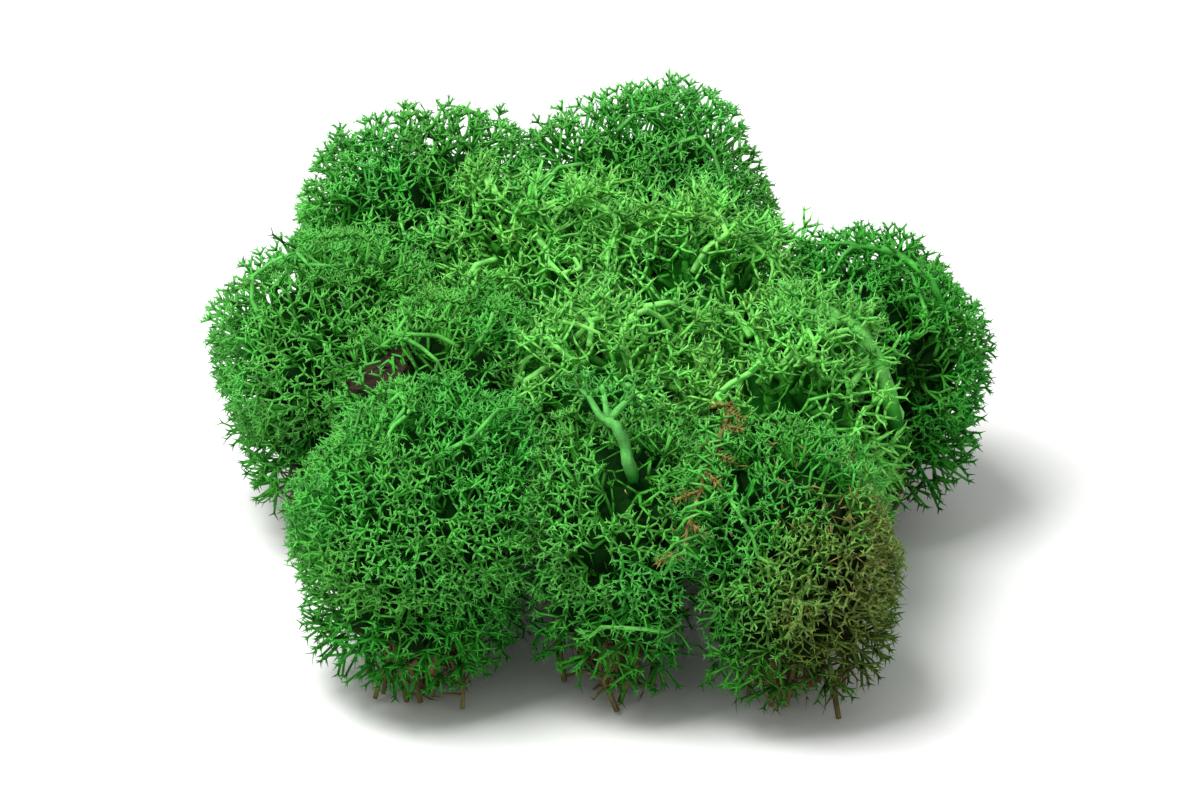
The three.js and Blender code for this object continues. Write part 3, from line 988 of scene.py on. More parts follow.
def grow_ring(growth, shape, ring, living, habit, rng):
    """The forks of one ring, which join the living forks of the ring below."""
    share, gap, thickness = habit["rings"][ring]
    mean = shape.radius * share
    count = int(4 * math.pi * mean * mean / (gap * MM) ** 2)
    near = search_tree([f.place - shape.heart for f in living]) if living else None
    made = []
    for direction in even_directions(count, rng.uniform(0, 2 * math.pi)):
        if direction.z < LOWEST - rng.uniform(0, LOWEST_BLUR):
            continue
        direction = (direction + jitter(rng, WANDER * gap * MM / mean)).normalized()
        if near is None:
            made.append(stalk(growth, shape, direction, habit, rng))
            continue
        out = share + rng.uniform(-1, 1) * habit["scatter"]
        point = shape.heart + direction * shape.reach(direction) * out
        if ring >= BURIED_FROM_RING and is_buried(shape, point):
            continue
        for _, i, _ in near.find_n(point - shape.heart, NEAREST_FORKS):
            if living[i].branches < MOST_BRANCHES and growth.is_free(living[i].place, point):
                skinned = ring < SKINNED_RINGS
                made.append(branch(growth, living[i], point, thickness, AGES[ring], habit, skinned, rng))
                break
    return made


def grow_head(growth, shape, habit, rng):
    """All podetia of one head, with side twigs on the forks outside its core."""
    make_pits(growth, shape, habit, rng)
    living, level = [], 0.0
    for ring, (share, _, _) in enumerate(habit["rings"]):
        made = grow_ring(growth, shape, ring, living, habit, rng)
        for fork in living if level > habit["core"] else []:
            for _ in range(rng.choice(habit["side_twigs"])):
                side_twig(growth, fork, AGES[ring] - SIDE_TWIG_OLDER, rng)
        living, level = made, share
    for fork in living:
        star(growth, fork, shape, habit, rng)
    for _ in range(habit["runners"]):
        runner(growth, shape, habit, rng)
    dead_mat(growth, rng)


print("the", SKINNED_RINGS, "inner rings get a skin, up to", MOST_BRANCHES, "branches on a fork")

# %% [markdown]
# ## Clothing the branches
#
# The Skin modifier turns a drawn line into a closed tube that swells where the line forks, which is how
# a podetium looks. Every podetium gets a skin of its own, and the skins of one head are then gathered in
# one mesh. All forks are marked as loose, which leaves four flat sides on each branch and few rings.
# The thin twigs are too many even for that. An Array modifier copies one cone of three or four sides
# as often as it is needed, and each copy is stretched along its twig, with its root sunk in the twig
# that carries it. At their size the joint doesn't show.

# %% Skins
SKIN_SMOOTHING = 0.6


def new_object(name, mesh):
    """An object of this mesh in the scene."""
    piece = bpy.data.objects.new(name, mesh)
    scene.collection.objects.link(piece)
    return piece


def discard(piece):
    """Removes an object and its mesh."""
    mesh = piece.data
    bpy.data.objects.remove(piece)
    bpy.data.meshes.remove(mesh)


def drawn_line(podetium, name):
    """The podetium as a line of edges with a thickness at each point, under a Skin modifier."""
    shape = bmesh.new()
    skin = shape.verts.layers.skin.verify()
    made = []
    for i, point in enumerate(podetium.points):
        vert = shape.verts.new(point)
        vert[skin].radius = (podetium.radii[i], podetium.radii[i])
        vert[skin].use_root = i == 0
        vert[skin].use_loose = True
        if i > 0:
            shape.edges.new((made[podetium.parents[i]], vert))
        made.append(vert)
    piece = new_object(name, bpy.data.meshes.new(name))
    shape.to_mesh(piece.data)
    shape.free()
    modifier = piece.modifiers.new("skin", "SKIN")
    modifier.use_smooth_shade = True
    modifier.branch_smoothing = SKIN_SMOOTHING
    return piece


print("skin smoothing", SKIN_SMOOTHING)

# %% Copied twigs
SUNK = 0.12 * MM
STEEP_FROM = 0.7


def unit_twig(sides, pointed):
    """A twig 1 long and 1 wide, upright on the origin."""
    shape = bmesh.new()
    bmesh.ops.create_cone(
        shape, cap_ends=True, segments=sides, radius1=0.5, radius2=0.0 if pointed else 0.5, depth=1,
        matrix=Matrix.Translation((0, 0, 0.5)),
    )
    for face in shape.faces:
        face.smooth = True
    mesh = bpy.data.meshes.new("unit_twig")
    shape.to_mesh(mesh)
    shape.free()
    return mesh


def copied_twig(kind, count):
    """One mesh of this many unit twigs of a kind, and how many points each has."""
    piece = new_object("twigs", unit_twig(*kind))
    each = len(piece.data.vertices)
    modifier = piece.modifiers.new("copies", "ARRAY")
    modifier.use_relative_offset = False
    modifier.count = count
    mesh = bpy.data.meshes.new_from_object(piece.evaluated_get(bpy.context.evaluated_depsgraph_get()))
    discard(piece)
    return mesh, each


def placed_twigs(kind, twigs, flatness=1.0):
    """One mesh of all twigs of a kind, each stretched from root to end, and how many points each has."""
    mesh, each = copied_twig(kind, len(twigs))
    unit = np.empty(len(mesh.vertices) * 3)
    mesh.vertices.foreach_get("co", unit)
    unit = unit.reshape(len(twigs), each, 3)
    begin, end = (np.array([tuple(t[i]) for t in twigs]) for i in (1, 2))
    widths = np.array([t[3:5] for t in twigs])
    way = (end - begin) / np.linalg.norm(end - begin, axis=1, keepdims=True)
    root = begin - way * SUNK
    length = np.linalg.norm(end - root, axis=1)
    helper = np.where(np.abs(way[:, 2:]) < STEEP_FROM, [[0.0, 0.0, 1.0]], [[1.0, 0.0, 0.0]])
    side = np.cross(way, helper)
    side /= np.linalg.norm(side, axis=1, keepdims=True)
    across = np.cross(way, side)
    up = unit[:, :, 2:]
    # A pointed twig is a cone already, so only its root width counts.
    is_pointed = kind[1]
    width = widths[:, None, :1] * (1 - up) + widths[:, None, 1:] * up
    if is_pointed:
        width = widths[:, None, :1]
    placed = (
        root[:, None, :] + side[:, None, :] * unit[:, :, :1] * width
        + across[:, None, :] * unit[:, :, 1:2] * width * flatness
        + way[:, None, :] * up * length[:, None, None]
    )
    mesh.vertices.foreach_set("co", placed.ravel())
    return mesh, each


print("twigs sunk", SUNK / MM, "mm in what carries them")

# %% One piece of it all
def clothed(growth, name, solids=(), flatness=1.0, vigour=1.0):
    """One object with all skins and twigs, and these further meshes as (mesh, age, tint). For every
    point it keeps its age, times the vigour of the whole, and its tint."""
    lines = [drawn_line(p, f"{name}_line_{i}") for i, p in enumerate(growth.podetia)]
    graph = bpy.context.evaluated_depsgraph_get()
    whole = bmesh.new()
    ages, tints = [], []
    for podetium, line, tint in zip(growth.podetia, lines, growth.tints):
        start = len(whole.verts)
        whole.from_mesh(line.evaluated_get(graph).to_mesh())
        whole.verts.ensure_lookup_table()
        near = search_tree(podetium.points)
        ages.extend(podetium.ages[near.find(vert.co)[1]] for vert in whole.verts[start:])
        tints.extend([tint] * (len(whole.verts) - start))
    for line in lines:
        discard(line)
    for kind in sorted({twig[0] for twig in growth.twigs}):
        twigs = [twig for twig in growth.twigs if twig[0] == kind]
        mesh, each = placed_twigs(kind, twigs, flatness)
        whole.from_mesh(mesh)
        bpy.data.meshes.remove(mesh)
        ages.extend(np.repeat([twig[5] for twig in twigs], each))
        tints.extend(np.repeat([twig[6] for twig in twigs], each))
    for mesh, age, tint in solids:
        whole.from_mesh(mesh)
        ages.extend([age] * len(mesh.vertices))
        tints.extend([tint] * len(mesh.vertices))
        bpy.data.meshes.remove(mesh)
    piece = new_object(name, bpy.data.meshes.new(name))
    whole.to_mesh(piece.data)
    whole.free()
    for layer, values in (("age", np.array(ages) * vigour), ("tint", tints)):
        piece.data.attributes.new(layer, "FLOAT", "POINT").data.foreach_set("value", values)
    return piece


def triangles(piece):
    """How many triangles an object has."""
    return sum(len(f.vertices) - 2 for f in piece.data.polygons)


print("each point keeps its age and tint for the materials")

# %% [markdown]
# ## Dyed lichen
#
# The moss is preserved with glycerine and dyed right through. Its surface has no skin and is felted, so
# it is dull all over, without a glint. The dye takes unevenly: old wood stays dark and brownish, young
# tips turn pale or yellowish, and every stalk has its own tone. The ramp also paints shade: between the
# brown foot and the young green it passes two dark greens, a painted shade for the dim inside of a head.
# Near the ground all of it looks older, and one corner of the clump has withered and took little dye.
# An image could hold all this for one head, but a colour ramp over each point's age gives it to every
# twig of twelve heads.

# %% Withered corner
# The dark stop at 0.3 is painted shade for the inside of the heads, as in the green ramps.
WITHERED_COLOURS = {0.1: "#4a3f24", 0.3: "#241f0e", 0.6: "#4b4a1f", 0.85: "#77763c", 1.0: "#98985a"}
WITHERED_PLACE = Vector((42, -56, 20)) * MM
WITHERED_REACH = 22 * MM
WITHERED_EDGE = 0.6
WITHERED_MOST = 0.75


def withered_share(tree, place, uneven):
    """How withered a place is: WITHERED_MOST in the withered corner, fading to 0 over a ragged edge."""
    gap = shader_node(tree, "ShaderNodeVectorMath", {0: place, 1: WITHERED_PLACE}, operation="DISTANCE")
    ragged = shader_node(
        tree, "ShaderNodeMath", {0: uneven, 1: -WITHERED_REACH, 2: gap.outputs["Value"]},
        operation="MULTIPLY_ADD",
    )
    share = shader_node(tree, "ShaderNodeMapRange", {
        "Value": ragged.outputs[0], "From Min": 0.0, "From Max": WITHERED_REACH * WITHERED_EDGE,
        "To Min": WITHERED_MOST, "To Max": 0.0,
    })
    return share.outputs["Result"]


print("withered within about", WITHERED_REACH / MM, "mm of", [round(x / MM) for x in WITHERED_PLACE])

# %% Age of the lichen
# Below the first height a point counts with LEAST_FRESH of its age, above the second with all of it.
DIM_BELOW = 3 * MM
FRESH_ABOVE = 17 * MM
LEAST_FRESH = 0.55


def lichen_age(tree, place):
    """The age that the point has from its growth, less near the ground, where all looks older."""
    height = shader_node(tree, "ShaderNodeSeparateXYZ", {"Vector": place}).outputs["Z"]
    freshness = shader_node(tree, "ShaderNodeMapRange", {
        "Value": height, "From Min": DIM_BELOW, "From Max": FRESH_ABOVE,
        "To Min": LEAST_FRESH, "To Max": 1.0,
    })
    grown_age = shader_node(tree, "ShaderNodeAttribute", attribute_name="age").outputs["Fac"]
    fresh_age = shader_node(
        tree, "ShaderNodeMath", {0: grown_age, 1: freshness.outputs["Result"]}, operation="MULTIPLY",
    )
    return fresh_age.outputs["Value"]


print("the lichen is fresh from", FRESH_ABOVE / MM, "mm up")

# %% Light and dark lichen
# Sprays are the parts of a head that took the dye alike, deeper or weaker than those beside them.
SPRAY_SIZE = 4 * MM
SPRAY_TONES = {"From Min": 0.3, "From Max": 0.7, "To Min": 0.6, "To Max": 1.38}
FELT_TONES = {"From Min": 0.25, "From Max": 0.75, "To Min": 0.75, "To Max": 1.2}
# Tints below 0 darken: on the matted cores this is painted shade, on the thick old podetia their own darker
# tone.
DARKEST_TINT = -1.0
DARKEST_VALUE = 0.4


def light_and_dark(tree, place, felt, tint):
    """How light a point is, by its felt, by the spray that it is in and by its tint. A tint below 0 darkens
    it: painted shade on the cores, the own darker tone of the old podetia.
    """
    sprays = shader_node(
        tree, "ShaderNodeTexNoise", {"Vector": place, "Scale": 1 / SPRAY_SIZE, "Detail": 2.0},
    )
    felted = shader_node(tree, "ShaderNodeMapRange", {"Value": felt, **FELT_TONES})
    depth_of_dye = shader_node(
        tree, "ShaderNodeMapRange", {"Value": sprays.outputs["Fac"], **SPRAY_TONES},
    )
    core_shade_and_old_tone = shader_node(tree, "ShaderNodeMapRange", {
        "Value": tint, "From Min": DARKEST_TINT, "From Max": 0.0, "To Min": DARKEST_VALUE, "To Max": 1.0,
    })
    value = felted.outputs["Result"]
    for factor in (depth_of_dye.outputs["Result"], core_shade_and_old_tone.outputs["Result"]):
        deeper = shader_node(tree, "ShaderNodeMath", {0: value, 1: factor}, operation="MULTIPLY")
        value = deeper.outputs["Value"]
    return value


print("sprays", SPRAY_SIZE / MM, "mm wide,", SPRAY_TONES["To Min"], "to", SPRAY_TONES["To Max"], "as light")

# %% Dyed lichen
DEAD_COLOUR = "#6f6540"
YELLOWED_MOST = 0.7
# Patches of a few stars turn yellow together, and the same patches make the withered edge ragged.
PATCH_SIZE = 6 * MM
# The felt on the podetia is about half as coarse in the real lichen. It is drawn as coarse as it shows.
FELT_SIZE = 0.45 * MM
FELT_DEPTH = 0.15 * MM


def dyed_lichen(name, deep, painted_hollow_shade, young, tip, yellowed):
    """Dyed lichen from its brown foot to its pale tips, with two dark greens between them as painted shade
    for the inside of a head, and one withered corner that took little dye.
    """
    material, tree = new_material(name)
    place = shader_node(tree, "ShaderNodeTexCoord").outputs["Object"]
    age = lichen_age(tree, place)
    tint = shader_node(tree, "ShaderNodeAttribute", attribute_name="tint").outputs["Fac"]
    patches = shader_node(
        tree, "ShaderNodeTexNoise", {"Vector": place, "Scale": 1 / PATCH_SIZE, "Detail": 2.0},
    )
    uneven = patches.outputs["Fac"]

    # The stops at 0.27 and 0.5 are dark greens: painted shade for the inside of a head, on its older
    # branches.
    dye = shader_node(
        tree, "ShaderNodeValToRGB", {"Fac": age},
        stops={0.08: DEAD_COLOUR, 0.27: deep, 0.5: painted_hollow_shade, 0.8: young, 1.0: tip},
    )
    yellowing = uneven
    for factor in (tint, age, YELLOWED_MOST):
        less = shader_node(tree, "ShaderNodeMath", {0: yellowing, 1: factor}, operation="MULTIPLY")
        yellowing = less.outputs["Value"]
    toned = shader_node(
        tree, "ShaderNodeMix", {"Factor": yellowing, "A": dye.outputs["Color"], "B": linear(yellowed)},
        data_type="RGBA",
    )
    dry = shader_node(tree, "ShaderNodeValToRGB", {"Fac": age}, stops=WITHERED_COLOURS)
    withered = withered_share(tree, place, uneven)
    aged = shader_node(
        tree, "ShaderNodeMix",
        {"Factor": withered, "A": toned.outputs["Result"], "B": dry.outputs["Color"]},
        data_type="RGBA",
    )

    felt = shader_node(
        tree, "ShaderNodeTexNoise", {"Vector": place, "Scale": 1 / FELT_SIZE, "Detail": 3.0},
    )
    value = light_and_dark(tree, place, felt.outputs["Fac"], tint)
    colour = shader_node(
        tree, "ShaderNodeHueSaturation", {"Color": aged.outputs["Result"], "Value": value},
    )
    bump = shader_node(
        tree, "ShaderNodeBump", {"Height": felt.outputs["Fac"], "Strength": 0.45, "Distance": FELT_DEPTH},
    )
    finish_material(tree, {
        "Base Color": colour.outputs["Color"], "Normal": bump.outputs["Normal"], "Roughness": 0.9,
        "IOR": 1.45, "Specular IOR Level": 0.12,
    })
    return material


# Of each finish, the second and third colours are the painted shade of the inside of the heads.
emerald = dyed_lichen("dyed_lichen_emerald", "#0b3a07", "#176b0f", "#36a332", "#66c35c", "#66a03a")
leaf_green = dyed_lichen("dyed_lichen_leaf_green", "#0d4a08", "#1a7c14", "#4bb73e", "#7bd966", "#8dbb51")
print("made", emerald.name, "and", leaf_green.name)

# %% [markdown]
# ## The twelve heads
#
# Eight heads, at the back, on the sides and along the front, are tight and emerald green. The four from
# the middle to the front right are open and leaf green. One random seed would be enough to grow them
# all. But each head has its own, so that a change to one of them leaves the others as they were.

# %% Grow the heads
HABITS = {
    "head_back_left": TIGHT, "head_back": TIGHT, "head_middle": OPEN, "head_right": TIGHT,
    "head_centre_right": OPEN, "head_left": TIGHT, "head_centre_left": TIGHT, "head_centre": OPEN,
    "head_front_right": OPEN, "head_front_left": TIGHT, "head_front": TIGHT, "head_corner": TIGHT,
}
HEAD_SEED = 100
FINISHES = {"lichen_emerald": emerald, "lichen_leaf_green": leaf_green}
# Heads whose ages are scaled down, which moves their colours down the ramp, so they are darker and
# duller than the rest.
DULLER = {"head_right": 0.92, "head_front_left": 0.965, "head_corner": 0.97, "head_centre_left": 0.97}
slots = {s["node"]: s["material_slot"] for s in frame["record"]["subparts"]}

litter = bmesh.new()
for name in ("heather_sprig", "bark_flake"):
    litter.from_mesh(frame["nodes"][name].data)
litter_tree = bvhtree.BVHTree.FromBMesh(litter)
litter.free()

for number, (name, habit) in enumerate(HABITS.items()):
    rng = random.Random(HEAD_SEED + number)
    growth = Growth(litter_tree, hollows)
    grow_head(growth, shapes[name], habit, rng)
    for large in LARGE_PODETIA:
        if large["head"] == name:
            large_podetium(growth, shapes[name], large, habit, rng)
    overgrown(growth, shapes[name], crossings[name], habit, rng)
    twigs_in_hollows(growth, shapes[name], habit["core"], hollows, rng)
    # The core's age and tint colour it dark: painted shade for the inside of the head.
    cores = [(painted_shade_core(shapes[name], habit["core"]), habit["core_shade_age"], habit["core_shade_tint"])]
    piece = clothed(growth, name.replace("head", "podetia"), cores, vigour=DULLER.get(name, 1.0))
    piece.data.materials.append(FINISHES[slots[name]])
    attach(piece, "root")
    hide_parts(name)
    counts = (len(growth.podetia), "podetia,", len(growth.twigs), "twigs,", triangles(piece), "triangles")
    print(piece.name, *counts)

# %% [markdown]
# ## The heather sprig
#
# A dry shoot of heather came in with the moss. Heather has a stem half a millimetre thick, with scale
# leaves in four rows that overlap on the short shoots and have dropped in between. The stem and its
# shoots are skinned like the podetia. The leaves are flat pointed cones, copied as the twigs are, which
# is much quicker than a modelled leaf and looks the same at 2 mm. Shed leaves lie in the moss round the
# sprig, and a litter of brown bits in the withered corner.

# %% Scale leaves
LEAF_STEP = 0.38
LEAF_LENGTH = 1.8
LEAF_LENGTHS = (0.7, 1.1)
LEAF_WIDTH = 0.6
LEAF_SPREAD = 0.9
LEAF_SPREADS = (0.7, 1.5)
LEAF_BLUR = 0.15
LEAF_SIDES = 4


def scale_leaves(growth, begin, end, rng, leafy):
    """Pairs of scale leaves along a shoot, each pair turned a quarter from the one before. Leafy is the
    share of them that are still there."""
    run = end - begin
    along = run.normalized()
    side = along.orthogonal().normalized()
    across = along.cross(side)
    for k in range(int(run.length / MM / LEAF_STEP)):
        for sign in (1, -1):
            if rng.random() < leafy:
                outward = (side if k % 2 else across) * sign + jitter(rng, LEAF_BLUR)
                way = (along + outward * LEAF_SPREAD * rng.uniform(*LEAF_SPREADS)).normalized()
                place = begin + along * k * LEAF_STEP * MM
                length = LEAF_LENGTH * rng.uniform(*LEAF_LENGTHS)
                growth.twig(place, way, length, (LEAF_WIDTH, 0), rng.random(), rng.random(), LEAF_SIDES)


print("scale leaves", LEAF_LENGTH, "mm long, a pair every", LEAF_STEP, "mm")

# %% Stem and shoots
STEM_STEPS = 24
STEM_WIDTHS = (0.6, 0.4)
STEM_BUMP = 0.12 * MM
STEM_AGE = 0.3
STEM_TINT = 0.2
# SHOOTS are the places of the side shoots along the sprig, from 0 to 1.
SHOOTS = (0.03, 0.12, 0.22, 0.33, 0.42, 0.55, 0.66, 0.80, 0.93)
SHOOT_LENGTHS = (3.2, 5.6)
SHOOT_ASIDE = (0.5, 1)
SHOOT_RISE = (0.1, 0.6)
SHOOT_LEAN = 0.9
SHOOT_TINT = 0.5
# A shoot's points: how far along it they are, their width in mm and their age.
SHOOT_POINTS = ((0.0, 0.45, 0.3), (0.5, 0.38, 0.5), (1.0, 0.3, 0.8))
LOOK_AHEAD = 0.02
# The stem is leafy and bare by turns, as a sine wave along it says.
LEAFY_WAVE = 17
BARE_BELOW = -0.3
LEAFY, BARE = 0.8, 0.3
LEAFY_SHOOT = 0.85


def stem_and_shoots(growth, path, rng):
    """The stem along its path, and a side shoot at each place of SHOOTS, all with their leaves."""
    stem = growth.podetium(STEM_TINT)
    number, last = None, None
    for k in range(STEM_STEPS + 1):
        share = k / STEM_STEPS
        place = along_path(path, share) + jitter(rng, STEM_BUMP)
        width = STEM_WIDTHS[0] + (STEM_WIDTHS[1] - STEM_WIDTHS[0]) * share
        number = stem.add(place, width, STEM_AGE, number)
        if last is not None:
            leafy = LEAFY if math.sin(share * LEAFY_WAVE) > BARE_BELOW else BARE
            scale_leaves(growth, last, place, rng, leafy)
        last = place
    for share in SHOOTS:
        base = along_path(path, share)
        along = (along_path(path, min(1, share + LOOK_AHEAD)) - base).normalized()
        aside = rng.choice((-1, 1)) * rng.uniform(*SHOOT_ASIDE)
        way = (along * SHOOT_LEAN + Vector((aside, 0, rng.uniform(*SHOOT_RISE)))).normalized()
        tip = base + way * rng.uniform(*SHOOT_LENGTHS) * MM
        shoot, number = growth.podetium(SHOOT_TINT), None
        for part, width, age in SHOOT_POINTS:
            number = shoot.add(base.lerp(tip, part), width, age, number)
        scale_leaves(growth, base, tip, rng, LEAFY_SHOOT)


print(len(SHOOTS), "side shoots on the sprig")

# %% Shed leaves and litter
SPRIG_SEED = 7
LEAF_FLATNESS = 0.42
SHED_LEAVES = 70
SHED_HEADS = ("head_front", "head_corner", "head_front_right")
SHED_RISE = 0.7
SHED_SPREAD = 0.5
SHED_DEPTHS = (0.88, 1.0)
SHED_REACH = 11 * MM
SHED_LENGTHS = (1.0, 2.2)
SHED_WIDTH = 0.5
PATH_CHECKS = 8
CORNER_LITTER = 90
CORNER_SHIFT = Vector((-0.3, 0.2, 0.7))
CORNER_SPREAD = 0.35
CORNER_DEPTHS = (0.86, 0.99)
CORNER_WIDTHS = (0.25, 0.5)
CORNER_LENGTHS = (1.2, 3.4)
CORNER_AGE = 0.7


def shed_leaves(growth, path, rng):
    """Leaves that have dropped among the moss near the sprig."""
    for _ in range(SHED_LEAVES):
        shape = shapes[rng.choice(SHED_HEADS)]
        outward = (Vector((0, 0, SHED_RISE)) + jitter(rng, SHED_SPREAD)).normalized()
        place = shape.heart + outward * shape.reach(outward) * rng.uniform(*SHED_DEPTHS)
        gaps = [(place - along_path(path, k / PATH_CHECKS)).length for k in range(PATH_CHECKS + 1)]
        if min(gaps) < SHED_REACH:
            way, length = jitter(rng, 1.0).normalized(), rng.uniform(*SHED_LENGTHS)
            growth.twig(place, way, length, (SHED_WIDTH, 0), rng.random(), rng.random(), LEAF_SIDES)


def corner_litter(growth, rng):
    """Brown bits that lie flat on the head in the withered corner."""
    shape = shapes["head_corner"]
    for _ in range(CORNER_LITTER):
        outward = (WITHERED_PLACE - shape.heart).normalized() + CORNER_SHIFT + jitter(rng, CORNER_SPREAD)
        outward.normalize()
        place = shape.heart + outward * shape.reach(outward) * rng.uniform(*CORNER_DEPTHS)
        way = outward.cross(jitter(rng, 1.0)).normalized()
        width, length = rng.uniform(*CORNER_WIDTHS), rng.uniform(*CORNER_LENGTHS)
        age = rng.random() * CORNER_AGE
        growth.twig(place, way, length, (width, 0), age, rng.random(), LEAF_SIDES)


sprig_rng = random.Random(SPRIG_SEED)
sprig_path = [Vector(p) * MM for p in SPRIG_LINE]
sprig_growth = Growth()
stem_and_shoots(sprig_growth, sprig_path, sprig_rng)
shed_leaves(sprig_growth, sprig_path, sprig_rng)
corner_litter(sprig_growth, sprig_rng)
sprig = clothed(sprig_growth, "heather_sprig_dry", flatness=LEAF_FLATNESS)
print(sprig.name, len(sprig_growth.twigs), "leaves,", triangles(sprig), "triangles")

# %% [markdown]
# ## Dead heather
#
# Heather turns brown and brittle as it dries, and what is left of its bloom bleaches to straw. The stem
# is darker than the leaves. A single brown would be simpler, but the eye knows a dry twig by the uneven
# tone of its leaves, so each leaf takes its own place on a ramp from stem brown to straw.

# %% Heather material
HEATHER_COLOURS = {0.0: "#5e552d", 0.55: "#8b7e41", 0.8: "#8f8e43", 1.0: "#aeb066"}
# A heather leaf is wrinkled about every 0.1 mm. The wrinkles are drawn as coarse as they need to show.
HEATHER_GRAIN = 0.5 * MM
HEATHER_TONES = {"From Min": 0.25, "From Max": 0.75, "To Min": 0.6, "To Max": 1.2}
HEATHER_DEPTH = 0.06 * MM


def dried_heather():
    """Dead heather: brown to straw-coloured leaves of uneven tone on a darker stem."""
    material, tree = new_material("dried_heather")
    place = shader_node(tree, "ShaderNodeTexCoord").outputs["Object"]
    age = shader_node(tree, "ShaderNodeAttribute", attribute_name="age").outputs["Fac"]
    tone = shader_node(tree, "ShaderNodeValToRGB", {"Fac": age}, stops=HEATHER_COLOURS)
    grain = shader_node(
        tree, "ShaderNodeTexNoise", {"Vector": place, "Scale": 1 / HEATHER_GRAIN, "Detail": 3.0},
    )
    shade = shader_node(tree, "ShaderNodeMapRange", {"Value": grain.outputs["Fac"], **HEATHER_TONES})
    colour = shader_node(
        tree, "ShaderNodeHueSaturation",
        {"Color": tone.outputs["Color"], "Value": shade.outputs["Result"]},
    )
    bump = shader_node(
        tree, "ShaderNodeBump",
        {"Height": grain.outputs["Fac"], "Strength": 0.5, "Distance": HEATHER_DEPTH},
    )
    finish_material(tree, {
        "Base Color": colour.outputs["Color"], "Normal": bump.outputs["Normal"], "Roughness": 0.75,
        "IOR": 1.45, "Specular IOR Level": 0.3,
    })
    return material


sprig.data.materials.append(dried_heather())
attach(sprig, "root")
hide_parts("heather_sprig")
print(sprig.name, "wears", sprig.data.materials[0].name)

# %% [markdown]
# ## The flake of bark
#
# A thin flake of pine bark, split off along the grain, so it has long shallow ridges and a ragged end
# on each side. It is a grid pushed into that shape and thickened by a Solidify modifier. A texture
# alone would leave it flat, and its edge is what the eye finds between the twigs.

# %% Bark flake
FLAKE_PLACE = Vector((-31.8, -21.6, 41.0)) * MM
FLAKE_TURN = (0.45, -0.3, 0.4)
FLAKE_HALF_LENGTH = 5.0
FLAKE_HALF_WIDTH = 2.4
FLAKE_CURL = 0.05
FLAKE_THICKNESS = 0.75
FLAKE_CELLS = (40, 22)
# The width is the root of 1 less this power of the way to an end, and the root of this at the least.
# Noise makes ends and sides ragged.
END_POWER = 3
END_LEAST = 0.12
RAGGED_END = 0.16
RAGGED_SIDE = 0.14
# Noise is asked for (waves along, waves across, layer). The layer keeps one noise from the next.
END_WAVES = (0.6, 4, 3)
SIDE_WAVES = (3, 0.5, 9)
RIDGE_HEIGHT = 0.32
RIDGE_WAVES = (0.25, 2.2, 1)
SPLINTER_WAVES = (0.7, 5, 5)
SPLINTER_SHARE = 0.5


def flake_turn():
    """The turn of the flake: about X, then about its own Y, then about its own Z."""
    turns = [Matrix.Rotation(angle, 4, axis) for angle, axis in zip(FLAKE_TURN, "XYZ")]
    return turns[0] @ turns[1] @ turns[2]


def bark_flake():
    """The flake as a ridged sheet with ragged ends, thickened downwards."""
    turn = flake_turn()
    sheet = bmesh.new()
    bmesh.ops.create_grid(sheet, x_segments=FLAKE_CELLS[0], y_segments=FLAKE_CELLS[1], size=1)
    for vert in sheet.verts:
        u, v = vert.co.x, vert.co.y
        end = noise.noise(Vector((v * END_WAVES[1], u * END_WAVES[0], END_WAVES[2])))
        x = u * FLAKE_HALF_LENGTH * (1 + RAGGED_END * end)
        bow = max(END_LEAST, 1 - abs(u) ** END_POWER) ** 0.5
        side = noise.noise(Vector((u * SIDE_WAVES[0], v * SIDE_WAVES[1], SIDE_WAVES[2])))
        y = v * FLAKE_HALF_WIDTH * bow * (1 + RAGGED_SIDE * side)
        ridge = noise.noise(Vector((x * RIDGE_WAVES[0], y * RIDGE_WAVES[1], RIDGE_WAVES[2])))
        splinter = noise.noise(Vector((x * SPLINTER_WAVES[0], y * SPLINTER_WAVES[1], SPLINTER_WAVES[2])))
        z = FLAKE_CURL * x * x + RIDGE_HEIGHT * (ridge + SPLINTER_SHARE * splinter)
        vert.co = FLAKE_PLACE + turn @ (Vector((x, y, z)) * MM)
    piece = new_object("bark_flake_ridged", bpy.data.meshes.new("bark_flake_ridged"))
    sheet.to_mesh(piece.data)
    sheet.free()
    modifier = piece.modifiers.new("thickness", "SOLIDIFY")
    modifier.thickness = FLAKE_THICKNESS * MM
    modifier.offset = -1
    return piece


flake = bark_flake()
print(flake.name, triangles(flake), "triangles before the thickness")

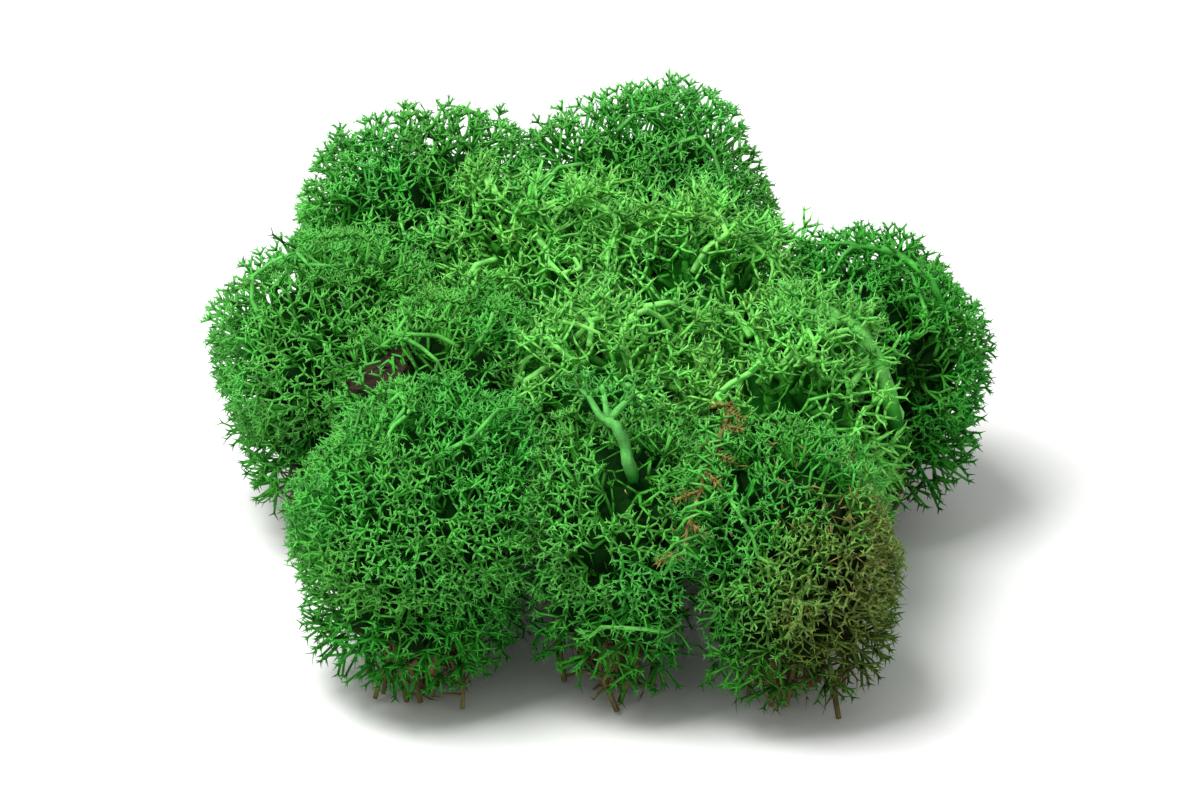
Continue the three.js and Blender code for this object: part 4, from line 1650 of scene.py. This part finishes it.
# %% [markdown]
# ## Pine bark
#
# Old bark is dull and nearly black in the cracks, with lighter brown fibres that run along the grain.
# The same noise gives both, so the cracks are where the fibres lie low. That darkness, and the dark
# brown of the whole flake, are partly painted shade for the shade that the flake lies in among the twigs.
# Plain noise would look like cork. So the noise is turned with the flake and drawn out along it, and
# the same fibres raise the surface a little.

# %% Bark material
# Bark fibres are finer than 0.1 mm. They are drawn as coarse as they need to show.
FIBRE_SIZE = 0.35 * MM
FIBRE_STRETCH = (0.15, 1, 1)
FIBRE_DEPTH = 0.1 * MM
# From nearly black to dark brown: the bark's own colour, darkened as painted shade.
SHADED_BARK_COLOURS = {0.3: "#120f09", 0.7: "#3b2d1b"}


def pine_bark():
    """Dark brown bark with lighter fibres along the grain, darkened as painted shade for the shade it lies
    in.
    """
    material, tree = new_material("pine_bark")
    place = shader_node(tree, "ShaderNodeTexCoord").outputs["Object"]
    turn = flake_turn().inverted().to_euler()
    own = shader_node(
        tree, "ShaderNodeMapping", {"Vector": place, "Rotation": turn, "Scale": FIBRE_STRETCH},
    )
    fibres = shader_node(
        tree, "ShaderNodeTexNoise",
        {"Vector": own.outputs["Vector"], "Scale": 1 / FIBRE_SIZE, "Detail": 4.0},
    )
    tone = shader_node(tree, "ShaderNodeValToRGB", {"Fac": fibres.outputs["Fac"]}, stops=SHADED_BARK_COLOURS)
    bump = shader_node(
        tree, "ShaderNodeBump",
        {"Height": fibres.outputs["Fac"], "Strength": 0.7, "Distance": FIBRE_DEPTH},
    )
    finish_material(tree, {
        "Base Color": tone.outputs["Color"], "Normal": bump.outputs["Normal"], "Roughness": 0.85,
        "IOR": 1.45, "Specular IOR Level": 0.3,
    })
    return material


flake.data.materials.append(pine_bark())
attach(flake, "root")
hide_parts("bark_flake")
print(flake.name, "wears", flake.data.materials[0].name)

# %% [markdown]
# ## The number of solids
#
# The twig tips stand out from the solids by a few millimetres. The last cell prints how many solids there
# are.

# %% Number of solids
print("sizes of", len(slots), "solids and of the clump")
